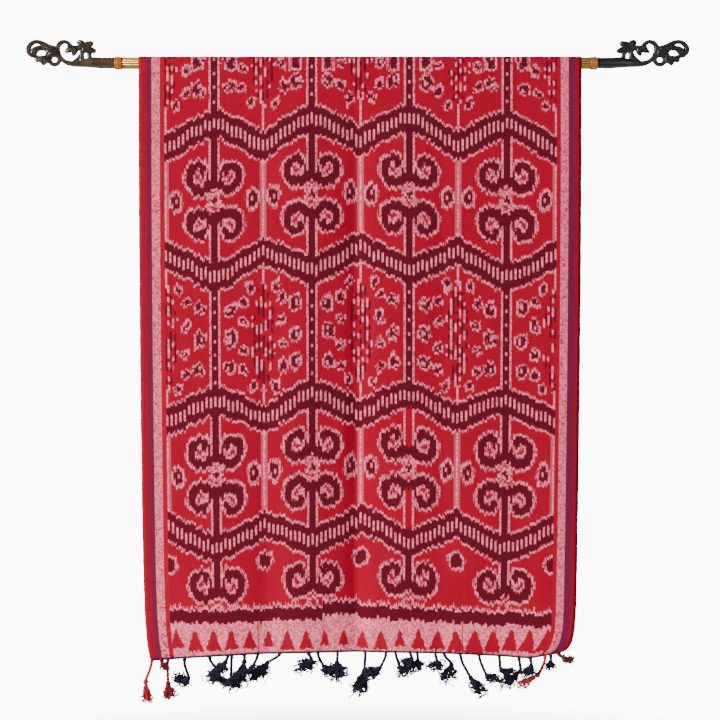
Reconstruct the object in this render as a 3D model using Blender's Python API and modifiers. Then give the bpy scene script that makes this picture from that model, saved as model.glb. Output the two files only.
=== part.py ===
"""Ikat woven cloth folded over a reeded rod with carved finials.

The cloth hangs in two layers from the rod, one in front of it and one behind it, and
each layer ends in a twined edging with knotted warp tassels. The rod has a beaded collar
and a carved openwork finial at each end.

Units are metres. +X runs along the rod, +Y points to the wall behind the cloth and +Z is
up. The origin is on the rod's axis, at the middle of the cloth's width.
"""

import math
from typing import NamedTuple

import bmesh
import bpy
from mathutils import Vector

# The cloth
CLOTH_WIDTH = 0.884
CLOTH_THICKNESS = 0.0012
DROP_AT_MIDDLE = 1.174
DROP_EXTRA_AT_SIDES = 0.017
CREASE_PLACE = -0.008
COLUMNS_EACH_SIDE_OF_CREASE = 14
ROWS_DOWN_A_LAYER = 18
ROW_CROWDING = 1.5
ROWS_OVER_THE_ROD = 8
SETTLE_SHARE = 0.22
SIDE_NARROWING = 0.013
CORNER_START = 0.22
CORNER_LIFT_START = 0.36

# The rod and its collars
ROD_RADIUS = 0.0117
ROD_LEFT_END = -0.4902
ROD_RIGHT_END = 0.4746
REED_COUNT = 14
REED_DEPTH = 0.0008
COLLAR_LENGTH = 0.0140
COLLAR_RADIUS = 0.0132
COLLAR_BEAD = 0.0006
COLLAR_STEPS = 20
CLEARANCE = 0.0003

# The finials
FINIAL_SIDES_SHAFT = 3
FINIAL_SIDES_SCROLL = 1
SMALL_RING_CENTRE = (0.1205, 0.0066)
SMALL_RING_RADIUS = 0.0098
SMALL_RING_TUBE = 0.0030
SMALL_RING_POINTS = 12
RIGHT_FINIAL_STRETCH = 1.035
DEPTH_SWELL = 1.35
DEPTH_SWELL_START = 0.050
DEPTH_SWELL_FULL = 0.075

# The edging and its tassels
EDGING_HEIGHT = 0.0022
EDGING_THICKNESS = 0.0020
CORD_RADIUS = 0.0013
KNOT_RADIUS = 0.0030
KNOT_LENGTH = 0.0055
TIP_SHARE = 0.4
DEPTH_SHARE = 0.6
LANE_STEP = 0.0065
EDGING_END_INSET = 0.001

HALF_WIDTH = CLOTH_WIDTH / 2
FACET_HALF_ANGLE = math.pi / ROWS_OVER_THE_ROD / 2
ARC_RADIUS = (ROD_RADIUS + CLEARANCE) / math.cos(FACET_HALF_ANGLE) + CLOTH_THICKNESS / 2

FRONT = -1
BACK = 1


class Fold(NamedTuple):
    """A swell or crease that runs down a layer: where it is, how wide, how far it stands out."""

    place: float
    reach: float
    rise_middle: float
    rise_hem: float
    creased: bool


FRONT_FOLDS = [
    # place, reach, rise at the middle of the drop, rise at the hem, creased
    Fold(CREASE_PLACE, 0.110, -0.0032, -0.0046, True),
    Fold(-0.300, 0.130, 0.0012, 0.0040, False),
    Fold(-0.125, 0.085, 0.0026, 0.0030, False),
    Fold(-0.185, 0.050, 0.0000, -0.0024, False),
    Fold(0.085, 0.085, 0.0014, 0.0018, False),
    Fold(0.250, 0.110, 0.0004, 0.0016, False),
    Fold(0.390, 0.100, 0.0024, 0.0042, False),
    Fold(-0.442, 0.060, -0.0006, -0.0016, False),
]

BACK_FOLDS = [
    Fold(CREASE_PLACE, 0.110, 0.0030, 0.0040, True),
    Fold(-0.330, 0.120, 0.0014, 0.0036, False),
    Fold(-0.160, 0.090, 0.0006, 0.0020, False),
    Fold(0.150, 0.120, 0.0018, 0.0030, False),
    Fold(0.340, 0.110, 0.0004, 0.0028, False),
]


class Corner(NamedTuple):
    """A lower corner that curls back: how far in and up it comes, and how sharply."""

    pull: float
    lift: float
    sharpness: float


LEFT_CORNER = Corner(0.010, 0.0, 24)
RIGHT_CORNER = Corner(0.028, 0.014, 50)


class Tassel(NamedTuple):
    """A warp tassel: where its cord starts and falls to, its tuft, and its layer in depth."""

    root: float
    drift: float
    fall: float
    lean: float
    tuft: float
    bulk: float
    lane: int


TASSELS = [
    # root across the cloth, drift and fall of the cord, lean, length and radius of the tuft, lane
    Tassel(-0.4385, -0.012, 0.041, 0.003, 0.041, 0.0030, 0),
    Tassel(-0.419, 0.003, 0.008, 0.005, 0.009, 0.0030, 1),
    Tassel(-0.405, 0.001, 0.046, 0.004, 0.031, 0.0035, 0),
    Tassel(-0.369, 0.011, 0.040, -0.017, 0.007, 0.0050, 1),
    Tassel(-0.314, 0.016, 0.026, -0.007, 0.023, 0.0050, 0),
    Tassel(-0.273, -0.003, 0.012, -0.016, 0.017, 0.0040, 1),
    Tassel(-0.265, -0.001, 0.048, -0.012, 0.012, 0.0050, 0),
    Tassel(-0.238, 0.001, 0.013, -0.012, 0.049, 0.0050, 0),
    Tassel(-0.210, -0.011, 0.026, -0.034, 0.021, 0.0035, 2),
    Tassel(-0.163, -0.025, 0.018, -0.021, 0.029, 0.0060, 0),
    Tassel(-0.107, 0.008, 0.012, -0.018, 0.021, 0.0055, 1),
    Tassel(-0.087, 0.012, 0.028, 0.017, 0.015, 0.0050, 0),
    Tassel(-0.046, -0.001, 0.019, 0.001, 0.029, 0.0060, 1),
    Tassel(0.011, -0.002, 0.037, -0.008, 0.043, 0.0050, 0),
    Tassel(0.054, -0.012, 0.030, -0.021, 0.017, 0.0050, 1),
    Tassel(0.073, 0.009, 0.029, 0.007, 0.014, 0.0040, 0),
    Tassel(0.103, 0.005, 0.013, -0.013, 0.010, 0.0040, 1),
    Tassel(0.118, 0.001, 0.015, -0.008, 0.021, 0.0045, 0),
    Tassel(0.155, 0.003, 0.016, -0.002, 0.014, 0.0045, 1),
    Tassel(0.172, 0.016, 0.020, -0.007, 0.032, 0.0045, 0),
    Tassel(0.206, 0.019, 0.045, 0.020, 0.031, 0.0045, 1),
    Tassel(0.246, 0.014, 0.041, 0.018, 0.011, 0.0040, 0),
    Tassel(0.294, 0.001, 0.026, 0.022, 0.009, 0.0040, 1),
    Tassel(0.344, 0.003, 0.027, -0.032, 0.030, 0.0040, 0),
    Tassel(0.372, 0.001, 0.013, -0.008, 0.021, 0.0040, 2),
    Tassel(0.408, -0.014, 0.038, -0.037, 0.024, 0.0030, 1),
    Tassel(0.420, 0.000, 0.015, -0.001, 0.013, 0.0030, 0),
    Tassel(0.435, 0.010, 0.008, 0.014, 0.007, 0.0030, 1),
]


class Bead(NamedTuple):
    """A point on a carved stroke: how far out from the collar, how high, and its radius."""

    out: float
    up: float
    radius: float


SHAFT = [
    # out, up, radius: the horn from the collar, thinning and curling over in the large scroll
    Bead(0.0004, 0.0004, 0.0105),
    Bead(0.0266, 0.0004, 0.0105),
    Bead(0.0456, 0.0015, 0.0101),
    Bead(0.0592, 0.0002, 0.0082),
    Bead(0.0701, -0.0013, 0.0064),
    Bead(0.0824, -0.0011, 0.0057),
    Bead(0.0926, 0.0003, 0.0050),
    Bead(0.1007, 0.0038, 0.0045),
    Bead(0.1066, 0.0100, 0.0038),
    Bead(0.1104, 0.0174, 0.0036),
    Bead(0.1128, 0.0249, 0.0042),
    Bead(0.1140, 0.0317, 0.0050),
    Bead(0.1112, 0.0381, 0.0049),
    Bead(0.1058, 0.0419, 0.0044),
    Bead(0.0994, 0.0427, 0.0040),
    Bead(0.0930, 0.0397, 0.0041),
    Bead(0.0889, 0.0348, 0.0042),
]

SCROLLS = {
    "inner_leaf": [
        Bead(0.0895, 0.0355, 0.0044),
        Bead(0.0898, 0.0299, 0.0052),
        Bead(0.0943, 0.0252, 0.0041),
        Bead(0.1007, 0.0222, 0.0016),
    ],
    "leaf_tip": [
        Bead(0.0864, 0.0312, 0.0046),
        Bead(0.0813, 0.0256, 0.0052),
        Bead(0.0821, 0.0195, 0.0037),
        Bead(0.0844, 0.0147, 0.0015),
    ],
    "bridge": [
        Bead(0.0898, 0.0324, 0.0045),
        Bead(0.0810, 0.0305, 0.0042),
        Bead(0.0728, 0.0308, 0.0049),
        Bead(0.0650, 0.0331, 0.0060),
        Bead(0.0610, 0.0345, 0.0048),
    ],
    "flower_stem": [
        Bead(0.0652, 0.0325, 0.0054),
        Bead(0.0654, 0.0242, 0.0046),
        Bead(0.0658, 0.0161, 0.0041),
        Bead(0.0654, 0.0050, 0.0046),
    ],
    "stem_brace": [
        Bead(0.0660, 0.0215, 0.0032),
        Bead(0.0694, 0.0140, 0.0033),
        Bead(0.0742, 0.0074, 0.0040),
        Bead(0.0824, 0.0010, 0.0036),
    ],
    "upper_petal": [
        Bead(0.0650, 0.0335, 0.0048),
        Bead(0.0690, 0.0399, 0.0045),
        Bead(0.0742, 0.0430, 0.0027),
    ],
    "middle_petal": [
        Bead(0.0640, 0.0338, 0.0050),
        Bead(0.0538, 0.0372, 0.0046),
        Bead(0.0467, 0.0392, 0.0038),
        Bead(0.0436, 0.0394, 0.0022),
    ],
    "lower_petal": [
        Bead(0.0635, 0.0276, 0.0046),
        Bead(0.0511, 0.0270, 0.0041),
        Bead(0.0429, 0.0249, 0.0035),
        Bead(0.0380, 0.0238, 0.0023),
    ],
    "flower_foot": [
        Bead(0.0558, 0.0240, 0.0030),
        Bead(0.0514, 0.0185, 0.0036),
        Bead(0.0503, 0.0080, 0.0035),
    ],
    "large_loop": [
        Bead(0.1130, 0.0270, 0.0036),
        Bead(0.1218, 0.0294, 0.0046),
        Bead(0.1313, 0.0331, 0.0039),
        Bead(0.1408, 0.0382, 0.0037),
        Bead(0.1504, 0.0419, 0.0037),
        Bead(0.1599, 0.0425, 0.0037),
        Bead(0.1676, 0.0382, 0.0041),
        Bead(0.1727, 0.0308, 0.0044),
        Bead(0.1721, 0.0226, 0.0044),
        Bead(0.1674, 0.0169, 0.0041),
        Bead(0.1606, 0.0142, 0.0037),
        Bead(0.1531, 0.0113, 0.0035),
    ],
    "loop_leaf": [
        Bead(0.1218, 0.0262, 0.0048),
        Bead(0.1327, 0.0274, 0.0046),
        Bead(0.1429, 0.0305, 0.0035),
        Bead(0.1531, 0.0294, 0.0037),
        Bead(0.1608, 0.0246, 0.0046),
        Bead(0.1625, 0.0174, 0.0038),
    ],
    "loop_bud": [
        Bead(0.1170, 0.0215, 0.0050),
        Bead(0.1218, 0.0215, 0.0058),
        Bead(0.1300, 0.0210, 0.0058),
        Bead(0.1347, 0.0158, 0.0041),
        Bead(0.1374, 0.0095, 0.0036),
    ],
    "lower_flower": [
        Bead(0.1576, 0.0049, 0.0033),
        Bead(0.1504, 0.0082, 0.0046),
        Bead(0.1422, 0.0076, 0.0057),
        Bead(0.1340, 0.0063, 0.0052),
        Bead(0.1279, 0.0041, 0.0033),
    ],
    "lower_flower_petal": [
        Bead(0.1419, 0.0052, 0.0044),
        Bead(0.1430, -0.0002, 0.0035),
        Bead(0.1436, -0.0034, 0.0019),
    ],
}


def clear_scene():
    for old in list(bpy.data.objects):
        bpy.data.objects.remove(old)


def new_collection(name):
    collection = bpy.data.collections.new(name)
    bpy.context.scene.collection.children.link(collection)
    return collection


def new_material(name, colour, roughness, metallic=0.0):
    material = bpy.data.materials.new(name)
    material.use_nodes = True
    shader = material.node_tree.nodes["Principled BSDF"]
    shader.inputs["Base Color"].default_value = (*colour, 1.0)
    shader.inputs["Roughness"].default_value = roughness
    shader.inputs["Metallic"].default_value = metallic
    return material


def new_object(name, data, collection, material=None):
    made = bpy.data.objects.new(name, data)
    collection.objects.link(made)
    if material:
        data.materials.append(material)
    return made


def mesh_from(name, shape):
    """A mesh from a bmesh, which is freed."""
    bmesh.ops.recalc_face_normals(shape, faces=shape.faces)
    mesh = bpy.data.meshes.new(name)
    shape.to_mesh(mesh)
    shape.free()
    return mesh


def ease(value):
    """Goes smoothly from 0 to 1 as value does."""
    value = min(max(value, 0.0), 1.0)
    return value * value * (3 - 2 * value)


def mix(start, end, share):
    return start + (end - start) * share


def relief(across, share, folds):
    """How far a layer stands out from its plane, at this place across and share of the drop."""
    total = 0.0
    for fold in folds:
        distance = abs(across - fold.place) / fold.reach
        if distance >= 1:
            continue
        profile = (1 - distance) ** 2 if fold.creased else (1 + math.cos(math.pi * distance)) / 2
        total += profile * mix(fold.rise_middle, fold.rise_hem, share**2)
    return total * ease(share / SETTLE_SHARE)


def layer_point(across, share, side):
    """A point of a hanging layer, from the rod's level at share 0 to the hem at share 1."""
    corner = RIGHT_CORNER if across > 0 else LEFT_CORNER
    turn = share**corner.sharpness
    pulled = ease((abs(across) - CORNER_START) / (HALF_WIDTH - CORNER_START)) * turn
    lifted = ease((abs(across) - CORNER_LIFT_START) / (HALF_WIDTH - CORNER_LIFT_START)) * turn
    narrowed = across * (1 - SIDE_NARROWING / HALF_WIDTH * share**2)
    x = narrowed - math.copysign(corner.pull, across) * pulled
    drop = DROP_AT_MIDDLE + DROP_EXTRA_AT_SIDES * (across / HALF_WIDTH) ** 2
    z = -share * drop + corner.lift * lifted
    folds = FRONT_FOLDS if side == FRONT else BACK_FOLDS
    return Vector((x, side * (ARC_RADIUS + relief(across, share, folds)), z))


def column_place(column):
    """The place across the cloth of a column of the sheet. One column lies on the crease."""
    if column <= COLUMNS_EACH_SIDE_OF_CREASE:
        return mix(-HALF_WIDTH, CREASE_PLACE, column / COLUMNS_EACH_SIDE_OF_CREASE)
    return mix(CREASE_PLACE, HALF_WIDTH, column / COLUMNS_EACH_SIDE_OF_CREASE - 1)


def share_from_hem(rows):
    """The share of the drop at a number of rows above the hem. Rows crowd towards the hem."""
    return 1 - (rows / ROWS_DOWN_A_LAYER) ** ROW_CROWDING


def sheet_point(column, row):
    """A point of the folded sheet: up the front layer, over the rod and down the back layer."""
    across = column_place(column)
    if row <= ROWS_DOWN_A_LAYER:
        return layer_point(across, share_from_hem(row), FRONT)
    last_row = 2 * ROWS_DOWN_A_LAYER + ROWS_OVER_THE_ROD
    if row >= ROWS_DOWN_A_LAYER + ROWS_OVER_THE_ROD:
        return layer_point(across, share_from_hem(last_row - row), BACK)
    angle = math.pi * (row - ROWS_DOWN_A_LAYER) / ROWS_OVER_THE_ROD
    return Vector((across, -ARC_RADIUS * math.cos(angle), ARC_RADIUS * math.sin(angle)))


def build_cloth(collection, material):
    """One sheet folded over the rod, with the crease and soft swells of its two layers."""
    columns = 2 * COLUMNS_EACH_SIDE_OF_CREASE
    rows = 2 * ROWS_DOWN_A_LAYER + ROWS_OVER_THE_ROD
    shape = bmesh.new()
    bmesh.ops.create_grid(shape, x_segments=columns, y_segments=rows, size=0.5)
    for vertex in shape.verts:
        column = round((vertex.co.x + 0.5) * columns)
        row = round((vertex.co.y + 0.5) * rows)
        vertex.co = sheet_point(column, row)
    cloth = new_object("cloth", mesh_from("cloth", shape), collection, material)
    solidify = cloth.modifiers.new("thickness", "SOLIDIFY")
    solidify.thickness = CLOTH_THICKNESS
    solidify.offset = 0.0
    solidify.use_even_offset = True
    return cloth


def hem_point(across, side):
    """A point of the cloth's hem, which runs straight from one column of the sheet to the next."""
    columns = range(2 * COLUMNS_EACH_SIDE_OF_CREASE)
    column = max(number for number in columns if column_place(number) <= across)
    start = column_place(column)
    end = column_place(column + 1)
    before = layer_point(start, 1.0, side)
    after = layer_point(end, 1.0, side)
    return before.lerp(after, (across - start) / (end - start))


def edging_stations(tassels):
    """Places across the edging's cross-sections, and those where a tassel's root face starts."""
    first = -HALF_WIDTH + EDGING_END_INSET
    roots = [tassel.root - CORD_RADIUS for tassel in tassels]
    places = {first, -first}
    for root in roots:
        places |= {root, root + 2 * CORD_RADIUS}
    for column in range(1, 2 * COLUMNS_EACH_SIDE_OF_CREASE):
        place = column_place(column)
        if min(abs(place - other) for other in places) > CORD_RADIUS:
            places.add(place)
    return sorted(places), set(roots)


def ring_round(centre, direction, radius):
    """Four corners round a strand, in the order of the edging's lower face."""
    side = direction.cross(Vector((0, 1, 0))).normalized() * radius
    depth = Vector((0, max(radius * DEPTH_SHARE, CORD_RADIUS), 0))
    return [centre - side - depth, centre + side - depth, centre + side + depth, centre - side + depth]


def tassel_rings(tassel, root, side):
    """(centre, direction, radius) down a tassel: its cord, its knot and its frayed tuft."""
    fore = side * LANE_STEP * tassel.lane
    end = Vector((tassel.drift + tassel.lean, fore, -tassel.fall - tassel.tuft))
    knot = Vector((tassel.drift, fore, -tassel.fall))
    way = (end - knot).normalized() * KNOT_LENGTH
    bend = Vector((tassel.drift * 0.35, fore * 0.8, -tassel.fall * 0.5))
    waist = Vector((tassel.drift * 0.1, fore * 0.5, -tassel.fall * 0.25))
    places = [
        (waist, CORD_RADIUS),
        (bend, CORD_RADIUS),
        (knot - way * 0.6, CORD_RADIUS * 1.1),
        (knot, KNOT_RADIUS),
        (knot + way * 0.6, KNOT_RADIUS * 0.7),
        (knot.lerp(end, 0.62), tassel.bulk),
        (end, tassel.bulk * TIP_SHARE),
    ]
    places = [(root + place, radius) for place, radius in places]
    rings = []
    above = root
    for number, (centre, radius) in enumerate(places):
        below = places[number + 1][0] if number + 1 < len(places) else centre + (centre - above)
        rings.append((centre, (below - above).normalized(), radius))
        above = centre
    return rings


def build_fringe(name, side, tassels, collection, material):
    """The twined edging under a layer's hem, with its knotted tassels fused to it."""
    shape = bmesh.new()
    places, roots = edging_stations(tassels)
    tassel_at = {tassel.root - CORD_RADIUS: tassel for tassel in tassels}
    half_thickness = EDGING_THICKNESS / 2
    stations = []
    for place in places:
        hem = hem_point(place, side) - Vector((0, 0, CLEARANCE))
        corners = [(-half_thickness, 0), (half_thickness, 0), (half_thickness, -EDGING_HEIGHT), (-half_thickness, -EDGING_HEIGHT)]
        stations.append([shape.verts.new(hem + Vector((0, y, z))) for y, z in corners])
    shape.faces.new(stations[0])
    shape.faces.new(reversed(stations[-1]))
    for place, start, end in zip(places, stations, stations[1:]):
        for corner in (0, 1, 3):
            following = (corner + 1) % 4
            shape.faces.new((start[corner], start[following], end[following], end[corner]))
        lower = [start[3], end[3], end[2], start[2]]
        if place not in roots:
            shape.faces.new(lower)
            continue
        root = sum((vertex.co for vertex in lower), Vector()) / 4
        for centre, direction, radius in tassel_rings(tassel_at[place], root, side):
            ring = [shape.verts.new(corner) for corner in ring_round(centre, direction, radius)]
            for corner in range(4):
                following = (corner + 1) % 4
                shape.faces.new((lower[corner], lower[following], ring[following], ring[corner]))
            lower = ring
        shape.faces.new(lower)
    return new_object(name, mesh_from(name, shape), collection, material)


def reed_outline():
    """The rod's section: rounded reeds side by side, with a groove between each pair."""
    turns = [(0.0, REED_DEPTH), (0.25, REED_DEPTH * 0.25), (0.5, 0.0), (0.75, REED_DEPTH * 0.25)]
    outline = []
    for reed in range(REED_COUNT):
        for turn, inset in turns:
            angle = 2 * math.pi * (reed + turn) / REED_COUNT
            radius = ROD_RADIUS - inset
            outline.append((radius * math.cos(angle), radius * math.sin(angle)))
    return outline


def build_rod(collection, material):
    """The straight reeded rod, one extruded outline along X."""
    curve = bpy.data.curves.new("rod", "CURVE")
    curve.dimensions = "2D"
    curve.fill_mode = "BOTH"
    curve.extrude = (ROD_RIGHT_END - ROD_LEFT_END) / 2
    outline = reed_outline()
    spline = curve.splines.new("POLY")
    spline.points.add(len(outline) - 1)
    spline.use_cyclic_u = True
    for point, (x, y) in zip(spline.points, outline):
        point.co = (x, y, 0, 1)
    rod = new_object("rod", curve, collection, material)
    rod.rotation_euler = (0, math.pi / 2, 0)
    rod.location = ((ROD_LEFT_END + ROD_RIGHT_END) / 2, 0, 0)
    return rod


def build_collar(name, middle, collection, material):
    """A turned collar with two beads, sleeved over the rod's end."""
    bore = (ROD_RADIUS + CLEARANCE) / math.cos(math.pi / COLLAR_STEPS)
    half = COLLAR_LENGTH / 2
    waist = COLLAR_RADIUS - COLLAR_BEAD
    profile = [
        (bore, half),
        (waist, half),
        (COLLAR_RADIUS, half * 0.70),
        (COLLAR_RADIUS, half * 0.35),
        (waist, 0.0),
        (COLLAR_RADIUS, -half * 0.35),
        (COLLAR_RADIUS, -half * 0.70),
        (waist, -half),
        (bore, -half),
    ]
    mesh = bpy.data.meshes.new(name)
    count = len(profile)
    edges = [(number, (number + 1) % count) for number in range(count)]
    mesh.from_pydata([(radius, 0, height) for radius, height in profile], edges, [])
    collar = new_object(name, mesh, collection, material)
    screw = collar.modifiers.new("turn", "SCREW")
    screw.steps = COLLAR_STEPS
    screw.render_steps = COLLAR_STEPS
    screw.use_merge_vertices = True
    screw.merge_threshold = 0.00005
    collar.rotation_euler = (0, math.pi / 2, 0)
    collar.location = (middle, 0, 0)
    return collar


def smooth_stroke(beads, steps):
    """Points on a smooth curve through a stroke's beads, as (out, up, radius) vectors."""
    knots = [Vector(bead) for bead in beads]
    knots = [2 * knots[0] - knots[1], *knots, 2 * knots[-1] - knots[-2]]
    points = []
    for before, start, end, after in zip(knots, knots[1:], knots[2:], knots[3:]):
        for step in range(steps):
            t = step / steps
            bend = 2 * start + (end - before) * t
            bend += (2 * before - 5 * start + 4 * end - after) * t**2
            bend += (3 * start - before - 3 * end + after) * t**3
            points.append(bend / 2)
    return [*points, knots[-2]]


def depth_swell(out):
    """How much deeper than wide a carved stroke is: the horn is round, the openwork is deeper."""
    return mix(1.0, DEPTH_SWELL, ease((out - DEPTH_SWELL_START) / (DEPTH_SWELL_FULL - DEPTH_SWELL_START)))


def carved_stroke(name, points, root, outward, sides, closed, collection):
    """A closed mesh tube along (out, up, radius) points, swelled in depth."""
    curve = bpy.data.curves.new(name, "CURVE")
    curve.dimensions = "3D"
    curve.bevel_depth = 1.0
    curve.bevel_resolution = sides
    curve.use_fill_caps = True
    spline = curve.splines.new("POLY")
    spline.points.add(len(points) - 1)
    spline.use_cyclic_u = closed
    for point, (out, up, radius) in zip(spline.points, points):
        point.co = (root + outward * out, 0, up, 1)
        point.radius = radius
    guide = new_object(name, curve, collection)
    bpy.context.view_layer.update()
    graph = bpy.context.evaluated_depsgraph_get()
    mesh = bpy.data.meshes.new_from_object(guide.evaluated_get(graph))
    bpy.data.objects.remove(guide)
    shape = bmesh.new()
    shape.from_mesh(mesh)
    bmesh.ops.remove_doubles(shape, verts=shape.verts, dist=0.00002)
    for vertex in shape.verts:
        vertex.co.y *= depth_swell((vertex.co.x - root) * outward)
    bmesh.ops.recalc_face_normals(shape, faces=shape.faces)
    shape.to_mesh(mesh)
    shape.free()
    return new_object(name, mesh, collection)


def small_ring_points():
    """The closed ring of the small curl, as (out, up, radius) points."""
    out, up = SMALL_RING_CENTRE
    points = []
    for number in range(SMALL_RING_POINTS):
        angle = 2 * math.pi * number / SMALL_RING_POINTS
        place = (out + SMALL_RING_RADIUS * math.cos(angle), up + SMALL_RING_RADIUS * math.sin(angle))
        points.append(Vector((*place, SMALL_RING_TUBE)))
    return points


def build_finial(name, root, outward, stretch, collection, pieces, material):
    """The horn and the openwork scrolls, leaves and petals carved from it, joined in one body."""
    outward *= stretch
    shaft = smooth_stroke(SHAFT, 2)
    finial = carved_stroke(name, shaft, root, outward, FINIAL_SIDES_SHAFT, False, collection)
    finial.data.materials.append(material)
    strokes = [(label, smooth_stroke(beads, 2), False) for label, beads in SCROLLS.items()]
    strokes.append(("small_ring", small_ring_points(), True))
    for label, points, closed in strokes:
        part = carved_stroke(f"{name}_{label}", points, root, outward, FINIAL_SIDES_SCROLL, closed, pieces)
        part.hide_render = True
        part.display_type = "WIRE"
        union = finial.modifiers.new(label, "BOOLEAN")
        union.operation = "UNION"
        union.solver = "EXACT"
        union.object = part
    return finial


def main():
    clear_scene()
    collection = new_collection("ikat_cloth_hanging")
    pieces = new_collection("finial_strokes")
    cotton = new_material("red_cotton", (0.45, 0.02, 0.03), 0.9)
    warp = new_material("navy_warp", (0.02, 0.02, 0.04), 0.9)
    gilt = new_material("gilt_metal", (0.80, 0.55, 0.22), 0.3, 1.0)
    copper = new_material("copper_collar", (0.60, 0.24, 0.08), 0.4, 0.6)
    horn = new_material("carved_horn", (0.05, 0.035, 0.025), 0.35)
    build_cloth(collection, cotton)
    build_fringe("fringe_front", FRONT, TASSELS, collection, warp)
    build_fringe("fringe_back", BACK, TASSELS, collection, warp)
    build_rod(collection, gilt)
    build_collar("collar_left", ROD_LEFT_END + COLLAR_LENGTH / 2, collection, copper)
    build_collar("collar_right", ROD_RIGHT_END - COLLAR_LENGTH / 2, collection, copper)
    build_finial("finial_left", ROD_LEFT_END, -1, 1.0, collection, pieces, horn)
    build_finial("finial_right", ROD_RIGHT_END, 1, RIGHT_FINIAL_STRETCH, collection, pieces, horn)


main()
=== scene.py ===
"""Looks of an ikat woven cloth that hangs folded over a reeded rod with carved finials.

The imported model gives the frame: metres, +X along the rod, +Y to the wall, +Z up, and the
origin on the rod's axis at the middle of the cloth. The cloth's pattern is laid out flat, in
millimetres across from the left selvage and down from the fold.
"""

import logging
import math
from collections.abc import Callable, Iterable
from dataclasses import dataclass, field
from enum import Enum
from functools import reduce
from itertools import pairwise
from typing import NamedTuple

import bmesh
import bpy
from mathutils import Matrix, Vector, kdtree, noise


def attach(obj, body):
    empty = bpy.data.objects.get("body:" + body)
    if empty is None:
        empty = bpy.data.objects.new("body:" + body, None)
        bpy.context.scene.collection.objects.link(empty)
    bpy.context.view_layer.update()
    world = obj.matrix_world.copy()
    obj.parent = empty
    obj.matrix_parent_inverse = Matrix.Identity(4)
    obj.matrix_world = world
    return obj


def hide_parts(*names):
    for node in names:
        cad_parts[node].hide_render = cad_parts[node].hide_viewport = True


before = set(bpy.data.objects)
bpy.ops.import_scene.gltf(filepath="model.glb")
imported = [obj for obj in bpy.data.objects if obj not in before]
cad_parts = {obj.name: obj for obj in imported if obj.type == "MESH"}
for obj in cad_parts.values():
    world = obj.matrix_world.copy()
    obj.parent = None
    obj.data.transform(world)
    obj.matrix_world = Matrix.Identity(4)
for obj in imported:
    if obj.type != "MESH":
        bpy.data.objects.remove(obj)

LOG = logging.getLogger("ikat_cloth")
PHOTO_SIDE = 720
MILLIMETRES = 1000.0

Tree = bpy.types.NodeTree
Piece = bpy.types.Object
Colour = tuple[float, float, float]
Number = "Signal | float"
Pair = tuple[float, float]
Oval = tuple[Pair, Pair]


class Layer(Enum):
    """The two hanging layers of the folded cloth, as the way each faces along Y."""

    FRONT = -1
    BACK = 1


class Slot(Enum):
    """The material slots; most materials take their names from them."""

    COTTON = "cotton_ikat"
    WARP = "warp_cord"
    GILT = "gilt_rod"
    COPPER = "copper_collar"
    HORN = "carved_horn"


class Yarn(Enum):
    """The colour of a fringe yarn, as the value that its material reads."""

    NAVY = 0.0
    MIXED = 0.5
    RED = 1.0
    BROWN = 2.0


def ease(value: float) -> float:
    """Goes smoothly from 0 to 1 as value does."""
    value = min(max(value, 0.0), 1.0)
    return value * value * (3 - 2 * value)


def mix(start: float, end: float, share: float) -> float:
    """A straight blend of two numbers."""
    return start + (end - start) * share


def paint(red: int, green: int, blue: int) -> Colour:
    """A linear colour from its red, green and blue as a screen shows them, 0 to 255."""

    def linear(channel: int) -> float:
        """One channel of it."""
        value = channel / 255
        return value / 12.92 if value <= 0.04045 else ((value + 0.055) / 1.055) ** 2.4

    return linear(red), linear(green), linear(blue)


# Shader arithmetic


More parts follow.
